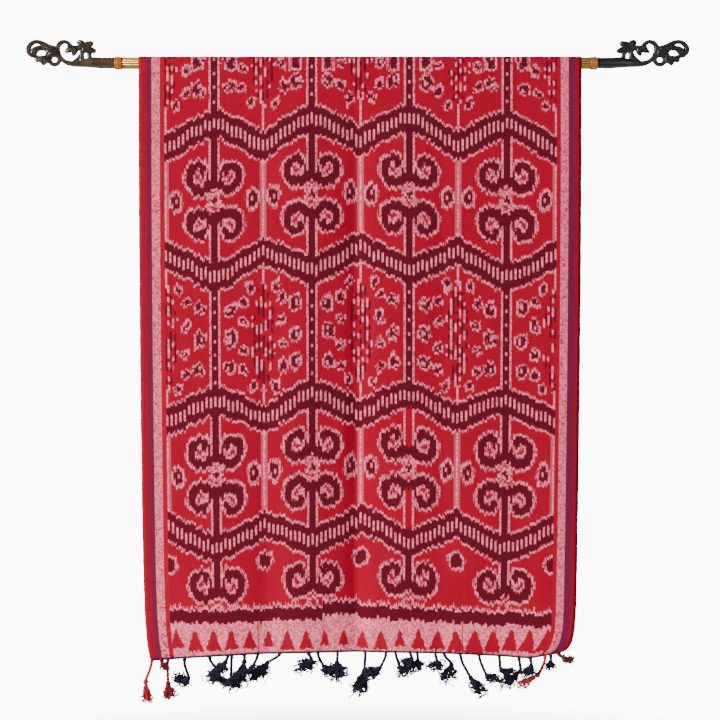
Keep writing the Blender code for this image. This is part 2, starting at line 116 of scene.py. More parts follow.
@dataclass(frozen=True)
class Signal:
    """A value that changes over a surface, for shader trees written as plain arithmetic."""

    tree: Tree
    socket: bpy.types.NodeSocket

    def math(self, operation: str, *others: Number, clamp: bool = False) -> "Signal":
        """This value and others put through a Math node, clamped to 0 and 1 if asked."""
        values = dict(enumerate((self, *others)))
        return add_node(self.tree, "ShaderNodeMath", values, operation=operation, use_clamp=clamp)

    def __add__(self, other: Number) -> "Signal":
        """Sum."""
        return self.math("ADD", other)

    def __sub__(self, other: Number) -> "Signal":
        """Difference."""
        return self.math("SUBTRACT", other)

    def __rsub__(self, other: float) -> "Signal":
        """A number less this."""
        return self.math("MULTIPLY_ADD", -1.0, other)

    def __mul__(self, other: Number) -> "Signal":
        """Product."""
        return self.math("MULTIPLY", other)

    def __truediv__(self, other: Number) -> "Signal":
        """Quotient."""
        return self.math("DIVIDE", other)

    def vector(self, operation: str, other: "Number | Colour") -> "Signal":
        """This vector put through a Vector Math node with another vector or a scale."""
        entry = "Scale" if operation == "SCALE" else 1
        return add_node(self.tree, "ShaderNodeVectorMath", {0: self, entry: other}, operation=operation)

    def other(self, output: str) -> "Signal":
        """Another output of the node that this one comes from."""
        return Signal(self.tree, self.socket.node.outputs[output])

    def size(self) -> "Signal":
        """The value without its sign."""
        return self.math("ABSOLUTE")

    def whole(self) -> "Signal":
        """The whole number at or below it."""
        return self.math("FLOOR")

    def wrapped(self, period: float) -> "Signal":
        """What is left over past whole periods."""
        return self.math("FLOORED_MODULO", period)

    def least(self, *others: Number) -> "Signal":
        """The least of it and the others."""
        return reduce(lambda result, other: result.math("MINIMUM", other), others, self)

    def most(self, *others: Number) -> "Signal":
        """The greatest of it and the others."""
        return reduce(lambda result, other: result.math("MAXIMUM", other), others, self)

    def below(self, edge: Number, softness: float = 0.8) -> "Signal":
        """A mask that is 1 below an edge and 0 above it."""
        return (edge - self).math("MULTIPLY_ADD", 1 / softness, 0.5, clamp=True)

    def above(self, edge: Number, softness: float = 0.8) -> "Signal":
        """A mask that is 1 above an edge and 0 below it."""
        return (self - edge).math("MULTIPLY_ADD", 1 / softness, 0.5, clamp=True)

    def less(self, mask: "Signal") -> "Signal":
        """This mask where the other one isn't."""
        return self.least(1.0 - mask)

    def dice(self, other: Number = 0.0, seed: float = 0.0) -> "Signal":
        """A fixed random number from 0 to 1 for each pair of values."""
        values = {"Vector": joined(self.tree, self, other, seed)}
        return add_node(self.tree, "ShaderNodeTexWhiteNoise", values, "Value", noise_dimensions="3D")

    def cloud(self, other: Number, seed: float, detail: float = 0.0) -> "Signal":
        """Soft noise over the plane of two values, in steps of 1.

        Args:
            other: The other value.
            seed: The seed.
            detail: How much finer noise lies in it.

        Returns:
            The noise, from about 0 to 1.
        """
        place = joined(self.tree, self, other, seed * 7.31)
        values = {"Vector": place, "Scale": 1.0, "Detail": detail}
        plain = add_node(self.tree, "ShaderNodeTexNoise", values, "Fac", noise_dimensions="3D")
        return plain.math("MULTIPLY_ADD", 1.6, -0.3)


def connect(tree: Tree, value: object, entry: bpy.types.NodeSocket) -> None:
    """Feeds a signal or a constant to a socket.

    Args:
        tree: The tree.
        value: The signal, number, vector, colour or other constant.
        entry: The socket.
    """
    if isinstance(value, Signal):
        tree.links.new(value.socket, entry)
    elif isinstance(value, tuple):
        entry.default_value = (*value, 1.0) if entry.type == "RGBA" else value
    else:
        entry.default_value = value


def add_node(
    tree: Tree,
    kind: str,
    values: dict[str | int, object] | None = None,
    output: str | int = 0,
    **settings: object,
) -> Signal:
    """Adds a node to a tree.

    Args:
        tree: The shader or geometry tree.
        kind: The node's type.
        values: A signal or a constant for each input, by its name or number.
        output: The output that is wanted, by its name or number.
        settings: The node's own settings.

    Returns:
        That output.
    """
    node = tree.nodes.new(kind)
    for name, value in settings.items():
        setattr(node, name, value)
    for name, value in (values or {}).items():
        connect(tree, value, node.inputs[name])
    return Signal(tree, node.outputs[output])


def joined(tree: Tree, x: Number, y: Number, z: Number) -> Signal:
    """Three values as one vector."""
    return add_node(tree, "ShaderNodeCombineXYZ", {0: x, 1: y, 2: z})


def distance(across: Signal, down: Signal) -> Signal:
    """The length of a step across and down."""
    return (across * across + down * down).math("SQRT")


def oval(across: Signal, down: Signal, centre: Pair, radii: Pair) -> Signal:
    """How far a place is outside an upright oval, below 0 inside it."""
    far = distance((across - centre[0]) / radii[0], (down - centre[1]) / radii[1])
    return (far - 1.0) * min(radii)


def blend(tree: Tree, mask: Number, first: "Signal | Colour", second: "Signal | Colour") -> Signal:
    """The first colour, with the second over it where the mask is 1."""
    values = {"Factor": mask, 6: first, 7: second}
    return add_node(tree, "ShaderNodeMix", values, 2, data_type="RGBA")


class ShaderGroup:
    """A shader node group that is being made, with named inputs and outputs."""

    def __init__(self, name: str) -> None:
        """Starts an empty group.

        Args:
            name: The group's name.
        """
        self.tree: Tree = bpy.data.node_groups.new(name, "ShaderNodeTree")
        self.entry = self.tree.nodes.new("NodeGroupInput")
        self.exit = self.tree.nodes.new("NodeGroupOutput")

    def takes(self, *names: str) -> list[Signal]:
        """Adds numbers as inputs, and gives each as a signal inside the group."""
        for name in names:
            self.tree.interface.new_socket(name, in_out="INPUT", socket_type="NodeSocketFloat")
        return [Signal(self.tree, self.entry.outputs[name]) for name in names]

    def gives(self, **outputs: Signal) -> "ShaderGroup":
        """Adds numbers as outputs, with _ for a space in their names, and feeds them."""
        for name, value in outputs.items():
            name = name.replace("_", " ")
            self.tree.interface.new_socket(name, in_out="OUTPUT", socket_type="NodeSocketFloat")
            self.tree.links.new(value.socket, self.exit.inputs[name])
        return self

    def placed(self, tree: Tree, **inputs: Number) -> Callable[[str], Signal]:
        """Places the group in a tree, with _ for a space in its inputs' names."""
        values = {name.replace("_", " "): value for name, value in inputs.items()}
        return add_node(tree, "ShaderNodeGroup", values, node_tree=self.tree).other


@dataclass
class Surface:
    """A material that is being made: its tree and its Principled shader."""

    name: str
    material: bpy.types.Material = field(init=False)

    def __post_init__(self) -> None:
        """Makes the material."""
        self.material = bpy.data.materials.new(self.name)
        self.material.use_nodes = True
        self.tree: Tree = self.material.node_tree
        self.shader = self.tree.nodes["Principled BSDF"]

    def set(self, **values: "Number | Colour") -> None:
        """Feeds the shader's inputs, with _ for a space in their names."""
        for name, value in values.items():
            connect(self.tree, value, self.shader.inputs[name.replace("_", " ")])

    def raised(self, height: Signal, depth: float) -> None:
        """Bumps the surface by a height from 0 to 1, so many metres deep."""
        values = {"Strength": 1.0, "Distance": depth, "Height": height}
        self.set(Normal=add_node(self.tree, "ShaderNodeBump", values, "Normal"))

    def place(self) -> list[Signal]:
        """Object coordinates in millimetres, one signal each."""
        return self.parted(add_node(self.tree, "ShaderNodeTexCoord", output="Object"))

    def flat_place(self, map_name: str) -> list[Signal]:
        """A UV map's two coordinates in millimetres."""
        return self.parted(add_node(self.tree, "ShaderNodeUVMap", output="UV", uv_map=map_name))[:2]

    def parted(self, vector: Signal) -> list[Signal]:
        """A vector in metres as three signals in millimetres."""
        parts = add_node(self.tree, "ShaderNodeSeparateXYZ", {0: vector})
        return [parts.other(axis) * MILLIMETRES for axis in "XYZ"]

    def attribute(self, name: str) -> Signal:
        """A number stored on the piece's own mesh."""
        return add_node(self.tree, "ShaderNodeAttribute", output="Fac", attribute_name=name)


# The ikat pattern, in millimetres on the flat cloth


@dataclass(frozen=True)
class IkatPattern:
    """The bound and dyed figures of the warp, in four cells across and bands down each layer."""

    first_edge: float = 53.6
    pitch: float = 194.8
    bundles_in_cell: int = 44
    thread_width: float = 0.74
    # how far the warp slips along itself: a whole bundle, each stretch of one, a thread, the cloth
    bundle_slip: float = 7.4
    stretch_slip: float = 3.6
    stretch: float = 90.0
    thread_slip: float = 3.4
    sway: float = 8.0
    arch_place: float = 439.2
    arch_half_width: float = 370.0
    arch_mean: float = 6.4
    arch_rise: float = 9.6
    outline: float = 4.9
    # each zigzag's place down the cloth at a stem, and how far it has moved at a cell's edge
    zigzags: tuple[Pair, ...] = ((142.8, 50.0), (446.6, -45.0), (694.6, 42.0), (988.6, -45.0))
    zigzag_half_height: float = 26.8
    sharpest_bend: float = 12.0
    bluntest_bend: float = 26.0
    bar_half_height: float = 10.0
    # the hook bands' middles down the cloth, then places across from a stem and up from a middle
    hook_bands: Pair = (295.2, 841.6)
    hook_band_reach: float = 146.0
    last_hooks: float = 1109.6
    last_hooks_reach: float = 150.0
    hook_centre: Pair = (28.4, 48.4)
    hook_radius: float = 21.2
    hook_half_thickness: float = 7.8
    hook_stretch: float = 1.14
    hook_flattening: float = 0.12
    mouth_place: Pair = (14.0, 60.0)
    mouth_slope: float = 0.36
    mouth_start: float = 43.0
    barb: Oval = ((22.5, 60.0), (5.6, 9.0))
    foot_length: float = 21.0
    foot_place: float = 35.0
    foot_slope: float = 0.34
    foot_half_thickness: float = 9.0
    stem_half_width: float = 6.0
    stem_start: float = 25.0
    bud: Oval = ((76.5, 0.0), (9.4, 15.8))
    bud_heart: Oval = ((75.0, 2.0), (1.2, 2.2))
    last_bud: Oval = ((0.0, 1019.6), (13.2, 14.8))
    band_heart: Oval = ((0.8, 0.0), (6.2, 6.6))
    halo_radius: float = 14.6
    small_arch_radius: float = 9.6
    small_arch_height: float = 14.0
    # the one cell of the lower hook band whose stems have a red core, and where the core lies
    red_core_cell: int = 2
    red_core_below: float = 720.0
    red_core: Pair = (42.0, 120.0)
    red_core_inset: float = 1.2
    edge_line_half_width: float = 4.3
    edge_line_reach: float = 116.0
    # the spotted bands' middles, then each ringed spot's place and radii
    spotted_bands: Pair = (570.6, 7.6)
    spots: tuple[Oval, ...] = (
        ((31.8, 0.0), (9.8, 12.8)), ((32.4, 60.0), (9.6, 11.8)), ((58.2, 26.0), (6.4, 7.2)),
        ((57.4, 70.0), (6.6, 7.4)), ((73.8, 99.0), (5.6, 7.6)),
    )
    spot_hearts: tuple[Oval, ...] = (
        ((29.0, 1.6), (3.6, 5.0)), ((29.4, 62.0), (3.6, 4.6)), ((58.0, 24.0), (2.0, 2.6)),
    )
    spots_astray: Pair = (9.0, 11.0)
    spots_reach: float = 112.0
    spotted_stem_reach: float = 120.0
    dot_period: float = 28.0
    dot: Pair = (2.0, 3.0)
    lozenge: Pair = (25.0, 92.0)
    lozenge_middle: float = 30.0
    dash_length: float = 9.0
    short_line_place: float = 128.0
    short_line_half_width: float = 3.6
    short_line_half_height: float = 28.0
    # the blocks beside each stem that the fold crosses: their place across, half width and end
    block: Pair = (32.8, 7.2)
    block_end: float = 29.0
    # the dark band's steps: from where across, and the place of its middle
    band_steps: tuple[Pair, ...] = (
        (0.0, 1125.1), (247.0, 1119.1), (365.0, 1108.8), (437.0, 1114.1), (503.0, 1119.5),
        (562.0, 1123.0), (634.0, 1126.5), (700.0, 1129.5), (768.0, 1132.5),
    )
    band_half_height: float = 12.6
    band_slip: float = 9.0
    spike_width: float = 1.5
    longest_spike: float = 13.0
    tree_period: float = 38.4
    tree_start: float = 81.8
    tree_top: float = 1151.0
    tree_height: float = 37.0
    tree_half_width: float = 13.0
    tier_share: float = 0.34
    red_threads: tuple[float, ...] = (233.0, 652.0, 721.0)

    @property
    def bundle(self) -> float:
        """The width of a bundle of warp threads that is bound together."""
        return self.pitch / self.bundles_in_cell

    def lie_group(self) -> ShaderGroup:
        """How the bound bundles lie in the loom: each a little higher or lower than the next.

        Returns:
            A group from a flat place to the place in the pattern that lies there.
        """
        group = ShaderGroup("warp lie")
        across, down = group.takes("Across", "Down")
        number = ((across - self.first_edge) / self.bundle + 0.5).whole()
        thread = (across / self.thread_width).whole()
        slip = (number.dice(0.0, 1) - 0.5) * self.bundle_slip
        slip = slip + (number.dice((down / self.stretch).whole(), 2) - 0.5) * self.stretch_slip
        slip = slip + (thread.dice(0.0, 3) - 0.5) * self.thread_slip
        sway = (across / 70.0).cloud(down / 110.0, 4) - 0.5
        turn = ((across - self.arch_place) / self.arch_half_width).most(-1.0).least(1.0) * math.pi
        arch = turn.math("COSINE") * self.arch_rise + self.arch_mean
        lain = down + arch + slip + sway * self.sway
        place = number * self.bundle + self.first_edge
        return group.gives(Number=number, Thread=thread, Across=place, Down=lain)

    def cell_group(self) -> ShaderGroup:
        """The four cells across the cloth, each mirrored about its stem.

        Returns:
            A group that gives how far a place is from its stem, and the number of its half cell.
        """
        group = ShaderGroup("cell")
        (across,) = group.takes("Across")
        offset = (across - self.first_edge).wrapped(self.pitch) - self.pitch / 2
        cell = ((across - self.first_edge) / self.pitch).whole()
        half_cell = cell * 2.0 + offset.above(0.0, 0.01)
        return group.gives(Offset=offset, From_stem=offset.size(), Half_cell=half_cell)

    def zigzag_group(self) -> ShaderGroup:
        """The four zigzag bands.

        Returns:
            A group that gives how far a place is from the nearest band's middle.
        """
        group = ShaderGroup("zigzags")
        from_stem, down, bluntness = group.takes("From stem", "Down", "Bluntness")
        reach = self.pitch / 2
        bend = (from_stem * from_stem + bluntness * bluntness).math("SQRT") - bluntness
        whole_bend = (bluntness * bluntness + reach * reach).math("SQRT") - bluntness
        lean = bend / whole_bend
        gaps = [(down - at_stem - lean * to_edge).size() for at_stem, to_edge in self.zigzags]
        return group.gives(Gap=gaps[0].least(*gaps[1:]))

    def hook_group(self) -> ShaderGroup:
        """The paired hooks on their stems, facing each other across a band's middle.

        Returns:
            A group that gives how far a place is outside the hooks, and the small marks by them.
        """
        group = ShaderGroup("hooks")
        offset, down, half_cell = group.takes("Offset", "Down", "Half cell")
        first, second = self.hook_bands
        from_stem = offset.size()
        full = (down - first).size().least((down - second).size())
        past_last = down.above(self.last_hooks, 0.1)
        past_last = past_last + down.below(self.last_hooks - self.last_hooks_reach, 0.1)
        high = full.least((down - self.last_hooks).size() + past_last * 1000.0)
        centre_across, centre_high = self.hook_centre
        along = (high - centre_high) / self.hook_stretch
        bend = (high - centre_high - 8.0).most(0.0) * self.hook_flattening
        ring = (distance(from_stem - centre_across, along) - self.hook_radius + bend).size()
        ring = ring - self.hook_half_thickness - (centre_high - high).most(0.0) * 0.04
        mouth_across, mouth_high = self.mouth_place
        mouth = from_stem - mouth_across - (high - mouth_high) * self.mouth_slope
        ring = ring.most(mouth.most(self.mouth_start - high) * -1.0)
        barb = oval(from_stem, high, *self.barb)
        foot = (high - self.foot_place + from_stem * self.foot_slope).size() - self.foot_half_thickness
        foot = foot.most(from_stem - self.foot_length)
        stem = (from_stem - self.stem_half_width).most(self.stem_start - high)
        hooks = ring.least(barb, foot, stem).most(high - self.hook_band_reach)
        gap = hooks.least(oval(from_stem, full, *self.bud), oval(offset, full, *self.band_heart))
        bud_heart = oval(from_stem, full, *self.bud_heart).below(0.0)
        halo = (distance(from_stem, full) - self.halo_radius).size().below(2.4)
        halo = halo.least((offset / 4.4).cloud(down / 8.0, 9).above(0.44, 0.05))
        low = down * -1.0 + self.last_hooks
        arch = (distance(from_stem, low - 2.0) - self.small_arch_radius).size().below(2.6)
        arch = arch.least(low.above(0.0), low.below(self.small_arch_height))
        marks = bud_heart.most(halo).least(full.below(160.0)).most(arch)
        first_half = self.red_core_cell * 2
        cored = half_cell.above(first_half - 0.5, 0.01).least(half_cell.below(first_half + 1.5, 0.01))
        start, end = self.red_core
        core = stem.below(-self.red_core_inset).least(full.below(end), full.above(start))
        core = core.least(cored, down.above(self.red_core_below, 0.1))
        return group.gives(Gap=gap, Marks=marks, High=full, Red_core=core)

    def spot_group(self) -> ShaderGroup:
        """The spotted bands: a dotted stem, ringed spots beside it and a lozenge at the cell's edge.

        Returns:
            A group that gives how far a place is outside the spots, and the light and dark marks.
        """
        group = ShaderGroup("spots")
        offset, down, half_cell, number = group.takes("Offset", "Down", "Half cell", "Number")
        middle, top = self.spotted_bands
        from_stem = offset.size()
        high = (down - middle).size().least((down - top).size())
        seat = (half_cell * 9.7 + high / 24.0, down / 60.0)
        astray_across, astray_high = self.spots_astray
        across = from_stem + (seat[0].cloud(seat[1], 11) - 0.5) * astray_across
        tall = high + (seat[0].cloud(seat[1], 12) - 0.5) * astray_high
        spots = [oval(across, tall, *spot) for spot in self.spots]
        ragged = ((offset / 3.4).cloud(down / 6.0, 13) - 0.5) * 2.8
        nearest = (spots[0].least(*spots[1:]) + ragged) * 1.3
        nearest = nearest.most(high - self.spots_reach)
        hearts = [oval(across, tall, *heart) for heart in self.spot_hearts]
        stem = (from_stem - self.stem_half_width).most(high - self.spotted_stem_reach)
        dots = (down.wrapped(self.dot_period) - self.dot_period / 2).size().below(self.dot[1])
        dots = dots.least(from_stem.below(self.dot[0]), high.below(self.spots_reach))
        from_edge = from_stem * -1.0 + self.pitch / 2
        inside = from_edge / self.lozenge[0] + (high - self.lozenge_middle).size() / self.lozenge[1]
        inside = inside.below(1.0, 0.01)
        dash = (down / self.dash_length + number.dice(0.0, 21)).whole()
        pick = dash.dice(number, 22)
        odd = number.wrapped(2.0).above(0.5, 0.01)
        light = inside.least(odd, pick.above(0.52, 0.01))
        dark = inside.less(odd).least(pick.above(0.46, 0.01))
        short_line = (high - self.short_line_place).size().below(self.short_line_half_height)
        short_line = short_line.least(from_edge.below(self.short_line_half_width))
        light = dots.most(hearts[0].least(*hearts[1:]).below(0.0), light, short_line)
        light = light.least(high.below(160.0))
        return group.gives(Gap=nearest.least(stem), Light=light, Dark=dark.least(high.below(120.0)))

    def hem_group(self) -> ShaderGroup:
        """The stepped dark band above the hem, and the pink border with its small red trees.

        Returns:
            A group that gives how far a place is from the band, and the border's masks.
        """
        group = ShaderGroup("hem band")
        across, down, number = group.takes("Across", "Down", "Number")
        middle = self.band_steps[0][1]
        for (_, before), (start, after) in pairwise(self.band_steps):
            middle = across.above(start, 0.1) * (after - before) + middle
        slip = (number.dice(0.0, 31) - 0.5) * self.band_slip
        below_middle = down - middle + slip
        spike = number.dice((across / self.spike_width).whole(), 32).math("POWER", 1.6)
        above_band = below_middle * -1.0 - self.band_half_height
        spikes = above_band.above(0.0).least(above_band.below(spike * self.longest_spike))
        past = below_middle.above(self.band_half_height)
        tree_across = (across - self.tree_start).wrapped(self.tree_period) - self.tree_period / 2
        tree = ((across - self.tree_start) / self.tree_period).whole()
        growth = tree.dice(3.0, 51) * 0.3 + 0.85 + ((across - 500.0) / 900.0).most(0.0)
        rise = (down - self.tree_top + slip * 0.6) / self.tree_height
        tiers = rise.wrapped(self.tier_share) * 9.0
        ragged = (across / 2.2).whole().dice((down / 7.0).whole(), 52) * 2.6
        width = rise * self.tree_half_width * growth + tiers * 0.7 + 1.6
        body = (tree_across.size() + ragged).below(width)
        trees = body.least(rise.above(0.0, 0.02), rise.below(growth, 0.02))
        threads = [(across - place).size().below(1.0) for place in self.red_threads]
        trees = trees.most(threads[0].most(*threads[1:]).least(past))
        gap = below_middle.size() - self.band_half_height
        return group.gives(Gap=gap, Spikes=spikes, Border=past, Trees=trees)

    def dyed(self, tree: Tree, across: Signal, down: Signal) -> tuple[Signal, Signal, Signal]:
        """Places all the groups in a material, and lays their figures over each other.

        Args:
            tree: The material's tree.
            across: The place across the cloth from the left selvage.
            down: The place down from the fold.

        Returns:
            The dark figures' mask, the pink ones' mask and the number of the warp thread.
        """
        lie = self.lie_group().placed(tree, Across=across, Down=down)
        cell = self.cell_group().placed(tree, Across=lie("Across"))
        number, lain, from_stem = lie("Number"), lie("Down"), cell("From stem")
        seat = {"Offset": cell("Offset"), "Down": lain, "Half_cell": cell("Half cell")}
        blunt = cell("Half cell").dice(0.0, 61) * (self.bluntest_bend - self.sharpest_bend)
        blunt = blunt + self.sharpest_bend
        bands = self.zigzag_group().placed(tree, From_stem=from_stem, Down=lain, Bluntness=blunt)
        hooks = self.hook_group().placed(tree, **seat)
        spots = self.spot_group().placed(tree, Number=number, **seat)
        hem = self.hem_group().placed(tree, Across=across, Down=down, Number=number)
        zigzags = bands("Gap")
        from_edge = from_stem * -1.0 + self.pitch / 2
        block_place, block_half_width = self.block
        blocks = (from_stem - block_place).size().least(from_stem) - block_half_width
        blocks = blocks.most(down - self.block_end - number.dice(0.0, 33) * 6.0)
        figures = hooks("Gap").least(spots("Gap"), oval(from_edge, lain, *self.last_bud), blocks)
        gap = figures.least(zigzags - self.zigzag_half_height).least(hem("Gap"))
        gap = gap + ((across / 2.4).cloud(down / 6.4, 41) - 0.5) * 2.6
        dark = gap.below(0.0)
        broken = (across / 2.6).cloud(down / 6.0, 43).above(0.22, 0.12)
        rim = gap.below(self.outline).least(broken).less(dark)
        even = number.wrapped(2.0).below(0.5, 0.01)
        bars = zigzags.below(self.bar_half_height).least(even)
        clear = zigzags.above(self.zigzag_half_height + 2.0)
        edge_line = from_edge.below(self.edge_line_half_width)
        edge_line = edge_line.least(hooks("High").below(self.edge_line_reach))
        marks = hooks("Marks").most(spots("Light"), edge_line).least(clear)
        pink = bars.most(rim, marks)
        dark = dark.less(hooks("Red core")).most(spots("Dark").least(clear))
        pink = pink.less(hem("Border")).most(hem("Border").less(hem("Trees")), hem("Spikes"))
        return dark.less(hem("Border")), pink, lie("Thread")


@dataclass(frozen=True)
class CottonFinish:
    """Warp-faced cotton: the ikat field, its striped sides, the weave and the dye's unevenness."""

    ground: Colour = paint(168, 5, 40)
    worn_ground: Colour = paint(144, 4, 31)
    deep: Colour = paint(92, 14, 32)
    speck: Colour = paint(132, 12, 42)
    pink: Colour = paint(254, 124, 148)
    stripe_pink: Colour = paint(244, 114, 136)
    stripe_purple: Colour = paint(112, 26, 60)
    selvage: Colour = paint(150, 16, 38)
    left_stripes: tuple[float, float, float, float] = (15.8, 26.0, 42.8, 52.0)
    right_stripes: tuple[float, float, float, float] = (834.4, 842.4, 858.2, 871.6)
    rib: float = 1.1
    pick: float = 1.7
    weave_depth: float = 0.0005
    speck_width: float = 3.4
    speck_length: float = 3.6
    speck_share: float = 0.52
    stripe_speck_share: float = 0.46

    def weave_group(self) -> ShaderGroup:
        """The warp's ribs and the weft's picks.

        Returns:
            A group that gives a height and a fine speckle.
        """
        group = ShaderGroup("warp-faced weave")
        across, down, rib, pick = group.takes("Across", "Down", "Rib", "Pick")
        turns = across / rib
        ribs = (turns * math.tau).math("COSINE")
        picks = ((down / pick + turns.whole() * 0.5) * math.tau).math("COSINE")
        column = (across / self.speck_width).whole()
        row = (down / self.speck_length + column.dice(0.0, 74)).whole()
        checker = (column + row).wrapped(2.0) * 0.22
        speckle = (checker + column.dice(row, 73) * 0.78).above(0.55, 0.25)
        return group.gives(Height=ribs * 0.3 + picks * 0.25 + 0.5, Speckle=speckle)

    def material(self, pattern: IkatPattern) -> bpy.types.Material:
        """The cloth's material.

        Args:
            pattern: The figures in its warp.

        Returns:
            The material, on the piece's own flat UV map.
        """
        surface = Surface(Slot.COTTON.value)
        tree = surface.tree
        across, along = surface.flat_place("weave")
        down = along.size()
        dark, pink, thread = pattern.dyed(tree, across, down)
        weave = self.weave_group().placed(
            tree, Across=across, Down=along, Rib=self.rib, Pick=self.pick
        )
        streak = thread.dice((down / 160.0).whole(), 71)
        worn = (across / 90.0).cloud(down / 150.0, 72, detail=2.0)
        ground = blend(tree, streak * 0.3 + worn * 0.35, self.ground, self.worn_ground)
        colour = blend(tree, dark, ground, self.deep)
        colour = blend(tree, pink, colour, self.pink)
        colour = self.sides(surface, across, colour, weave("Speckle"))
        specks = weave("Speckle").least(pink) * self.speck_share
        colour = blend(tree, specks, colour, self.speck)
        surface.set(Base_Color=colour, Roughness=streak * 0.08 + 0.82, Specular_IOR_Level=0.06)
        surface.raised(weave("Height"), self.weave_depth)
        return surface.material

    def sides(self, surface: Surface, across: Signal, field_colour: Signal, speckle: Signal) -> Signal:
        """Lays the plain side stripes over the field's colour.

        Args:
            surface: The material.
            across: The place across the cloth.
            field_colour: The ikat field's colour.
            speckle: The fine speckle of the pink stripe.

        Returns:
            The colour over the whole width.
        """
        tree = surface.tree
        speckled = blend(tree, speckle * self.stripe_speck_share, self.stripe_pink, self.speck)
        colour = field_colour
        stripes = (self.ground, speckled, self.stripe_purple, self.selvage)
        for edge, stripe in zip(self.left_stripes[::-1], stripes):
            colour = blend(tree, across.below(edge), colour, stripe)
        for edge, stripe in zip(self.right_stripes, stripes):
            colour = blend(tree, across.above(edge), colour, stripe)
        return colour


@dataclass(frozen=True)
class YarnFinish:
    """Twisted cotton yarn, navy nearly black, with red, brown and mixed ones at the corners."""

    navy: Colour = paint(22, 20, 34)
    worn_navy: Colour = paint(44, 40, 60)
    red: Colour = paint(176, 36, 46)
    brown: Colour = paint(96, 48, 34)

    def material(self) -> bpy.types.Material:
        """The fringe's material.

        Returns:
            The material, on the piece's own yarn value and Object coordinates.
        """
        surface = Surface(Slot.WARP.value)
        tree = surface.tree
        x, y, z = surface.place()
        yarn = surface.attribute("yarn")
        fluff = (x / 0.7).cloud(z / 0.7 + y / 0.5, 81, detail=2.0)
        colour = blend(tree, fluff * 0.8, self.navy, self.worn_navy)
        colour = blend(tree, yarn.above(0.5, 0.2), colour, self.red)
        colour = blend(tree, yarn.above(1.5, 0.2), colour, self.brown)
        surface.set(Base_Color=colour, Roughness=fluff * 0.15 + 0.8, Specular_IOR_Level=0.1)
        surface.raised(fluff, 0.0004)
        return surface.material


@dataclass(frozen=True)
class MetalFinish:
    """Rolled or turned metal with fine drawn lines, a little tarnish, and painted shade where its
    surface sinks in.
    """

    slot: Slot
    colour: Colour
    # the dark colour of the random tarnish patches, also laid as painted shade in the sunken places
    tarnish_and_shade: Colour
    metallic: float
    roughness: float
    line_length: float
    shaded_below_radius: float

    def material(self) -> bpy.types.Material:
        """The metal's material.

        Returns:
            The material, on Object coordinates.
        """
        surface = Surface(self.slot.value)
        tree = surface.tree
        x, y, z = surface.place()
        patches = (x / 14.0 + y / 9.0).cloud(z / 9.0, 91, detail=3.0)
        lines = (x / self.line_length).cloud(y / 0.35 + z / 0.35, 92, detail=1.0)
        radius = distance(y, z)
        # painted shade: below this radius (the rod's grooves between reeds, the collars' dips and
        # rounded ends) the colour goes dark
        painted_recess_shade = radius.below(self.shaded_below_radius, 1.0)
        colour = blend(tree, (patches.above(0.5, 0.6) * 0.4).most(painted_recess_shade), self.colour, self.tarnish_and_shade)
        surface.set(Base_Color=colour, Metallic=self.metallic)
        surface.set(Roughness=lines * 0.12 + patches * 0.12 + self.roughness)
        surface.raised(lines, 0.00006)
        return surface.material


@dataclass(frozen=True)
class HornFinish:
    """Carved and polished horn, nearly black, with brown grain along it, amber streaks that are partly
    its own and partly a painted sheen, and painted shade in its carved channels.
    """

    name: str
    base: Colour
    grain: Colour
    amber_and_sheen: Colour
    amber_and_sheen_share: float

    def material(self) -> bpy.types.Material:
        """The horn's material.

        Returns:
            The material, on Object coordinates and the piece's own shaded_channel value, which lays
            painted shade in the carved channels.
        """
        surface = Surface(self.name)
        tree = surface.tree
        x, y, z = surface.place()
        shaded_channel = surface.attribute("shaded_channel")
        grain = (x / 22.0).cloud(y / 3.0 + z / 2.4, 101, detail=3.0)
        patches = (x / 24.0).cloud(z / 16.0, 102, detail=1.0)
        colour = blend(tree, grain, self.base, self.grain)
        # amber streaks, partly the horn's own colour and partly a painted sheen
        colour = blend(tree, patches.above(0.45, 0.5) * self.amber_and_sheen_share, colour, self.amber_and_sheen)
        # painted shade: the carved channels are darkened to the base colour
        colour = blend(tree, shaded_channel * 0.9, colour, self.base)
        surface.set(Base_Color=colour, Roughness=grain * 0.14 + shaded_channel * 0.2 + 0.26)
        surface.set(Coat_Weight=0.15, Coat_Roughness=0.2, Specular_IOR_Level=0.35)
        surface.raised(grain, 0.0003)
        return surface.material


# Mesh helpers


def piece_from(name: str, data: bpy.types.ID, material: bpy.types.Material | None = None) -> Piece:
    """Puts a mesh, a light or a camera in the scene as an object at the origin.

    Args:
        name: The object's name.
        data: Its mesh, light or camera.
        material: A mesh's only material, if it has none.

    Returns:
        The object.
    """
    made = bpy.data.objects.new(name, data)
    bpy.context.scene.collection.objects.link(made)
    if material:
        data.materials.clear()
        data.materials.append(material)
    return made


def mesh_of(name: str, points: Iterable[Vector], edges: list, faces: list) -> bpy.types.Mesh:
    """A mesh from its parts.

    Args:
        name: The mesh's name.
        points: Its points.
        edges: Its edges without faces, as pairs of point numbers.
        faces: Its faces, as point numbers.

    Returns:
        The mesh, with smooth faces.
    """
    mesh = bpy.data.meshes.new(name)
    mesh.from_pydata([tuple(point) for point in points], edges, faces)
    mesh.update()
    mesh.shade_smooth()
    return mesh


def mesh_from(shape: bmesh.types.BMesh, name: str) -> bpy.types.Mesh:
    """A mesh from a closed shape, which is freed.

    Args:
        shape: The closed shape.
        name: The mesh's name.

    Returns:
        The mesh, with smooth faces turned outwards.
    """
    bmesh.ops.recalc_face_normals(shape, faces=shape.faces)
    mesh = bpy.data.meshes.new(name)
    shape.to_mesh(mesh)
    shape.free()
    mesh.shade_smooth()
    return mesh


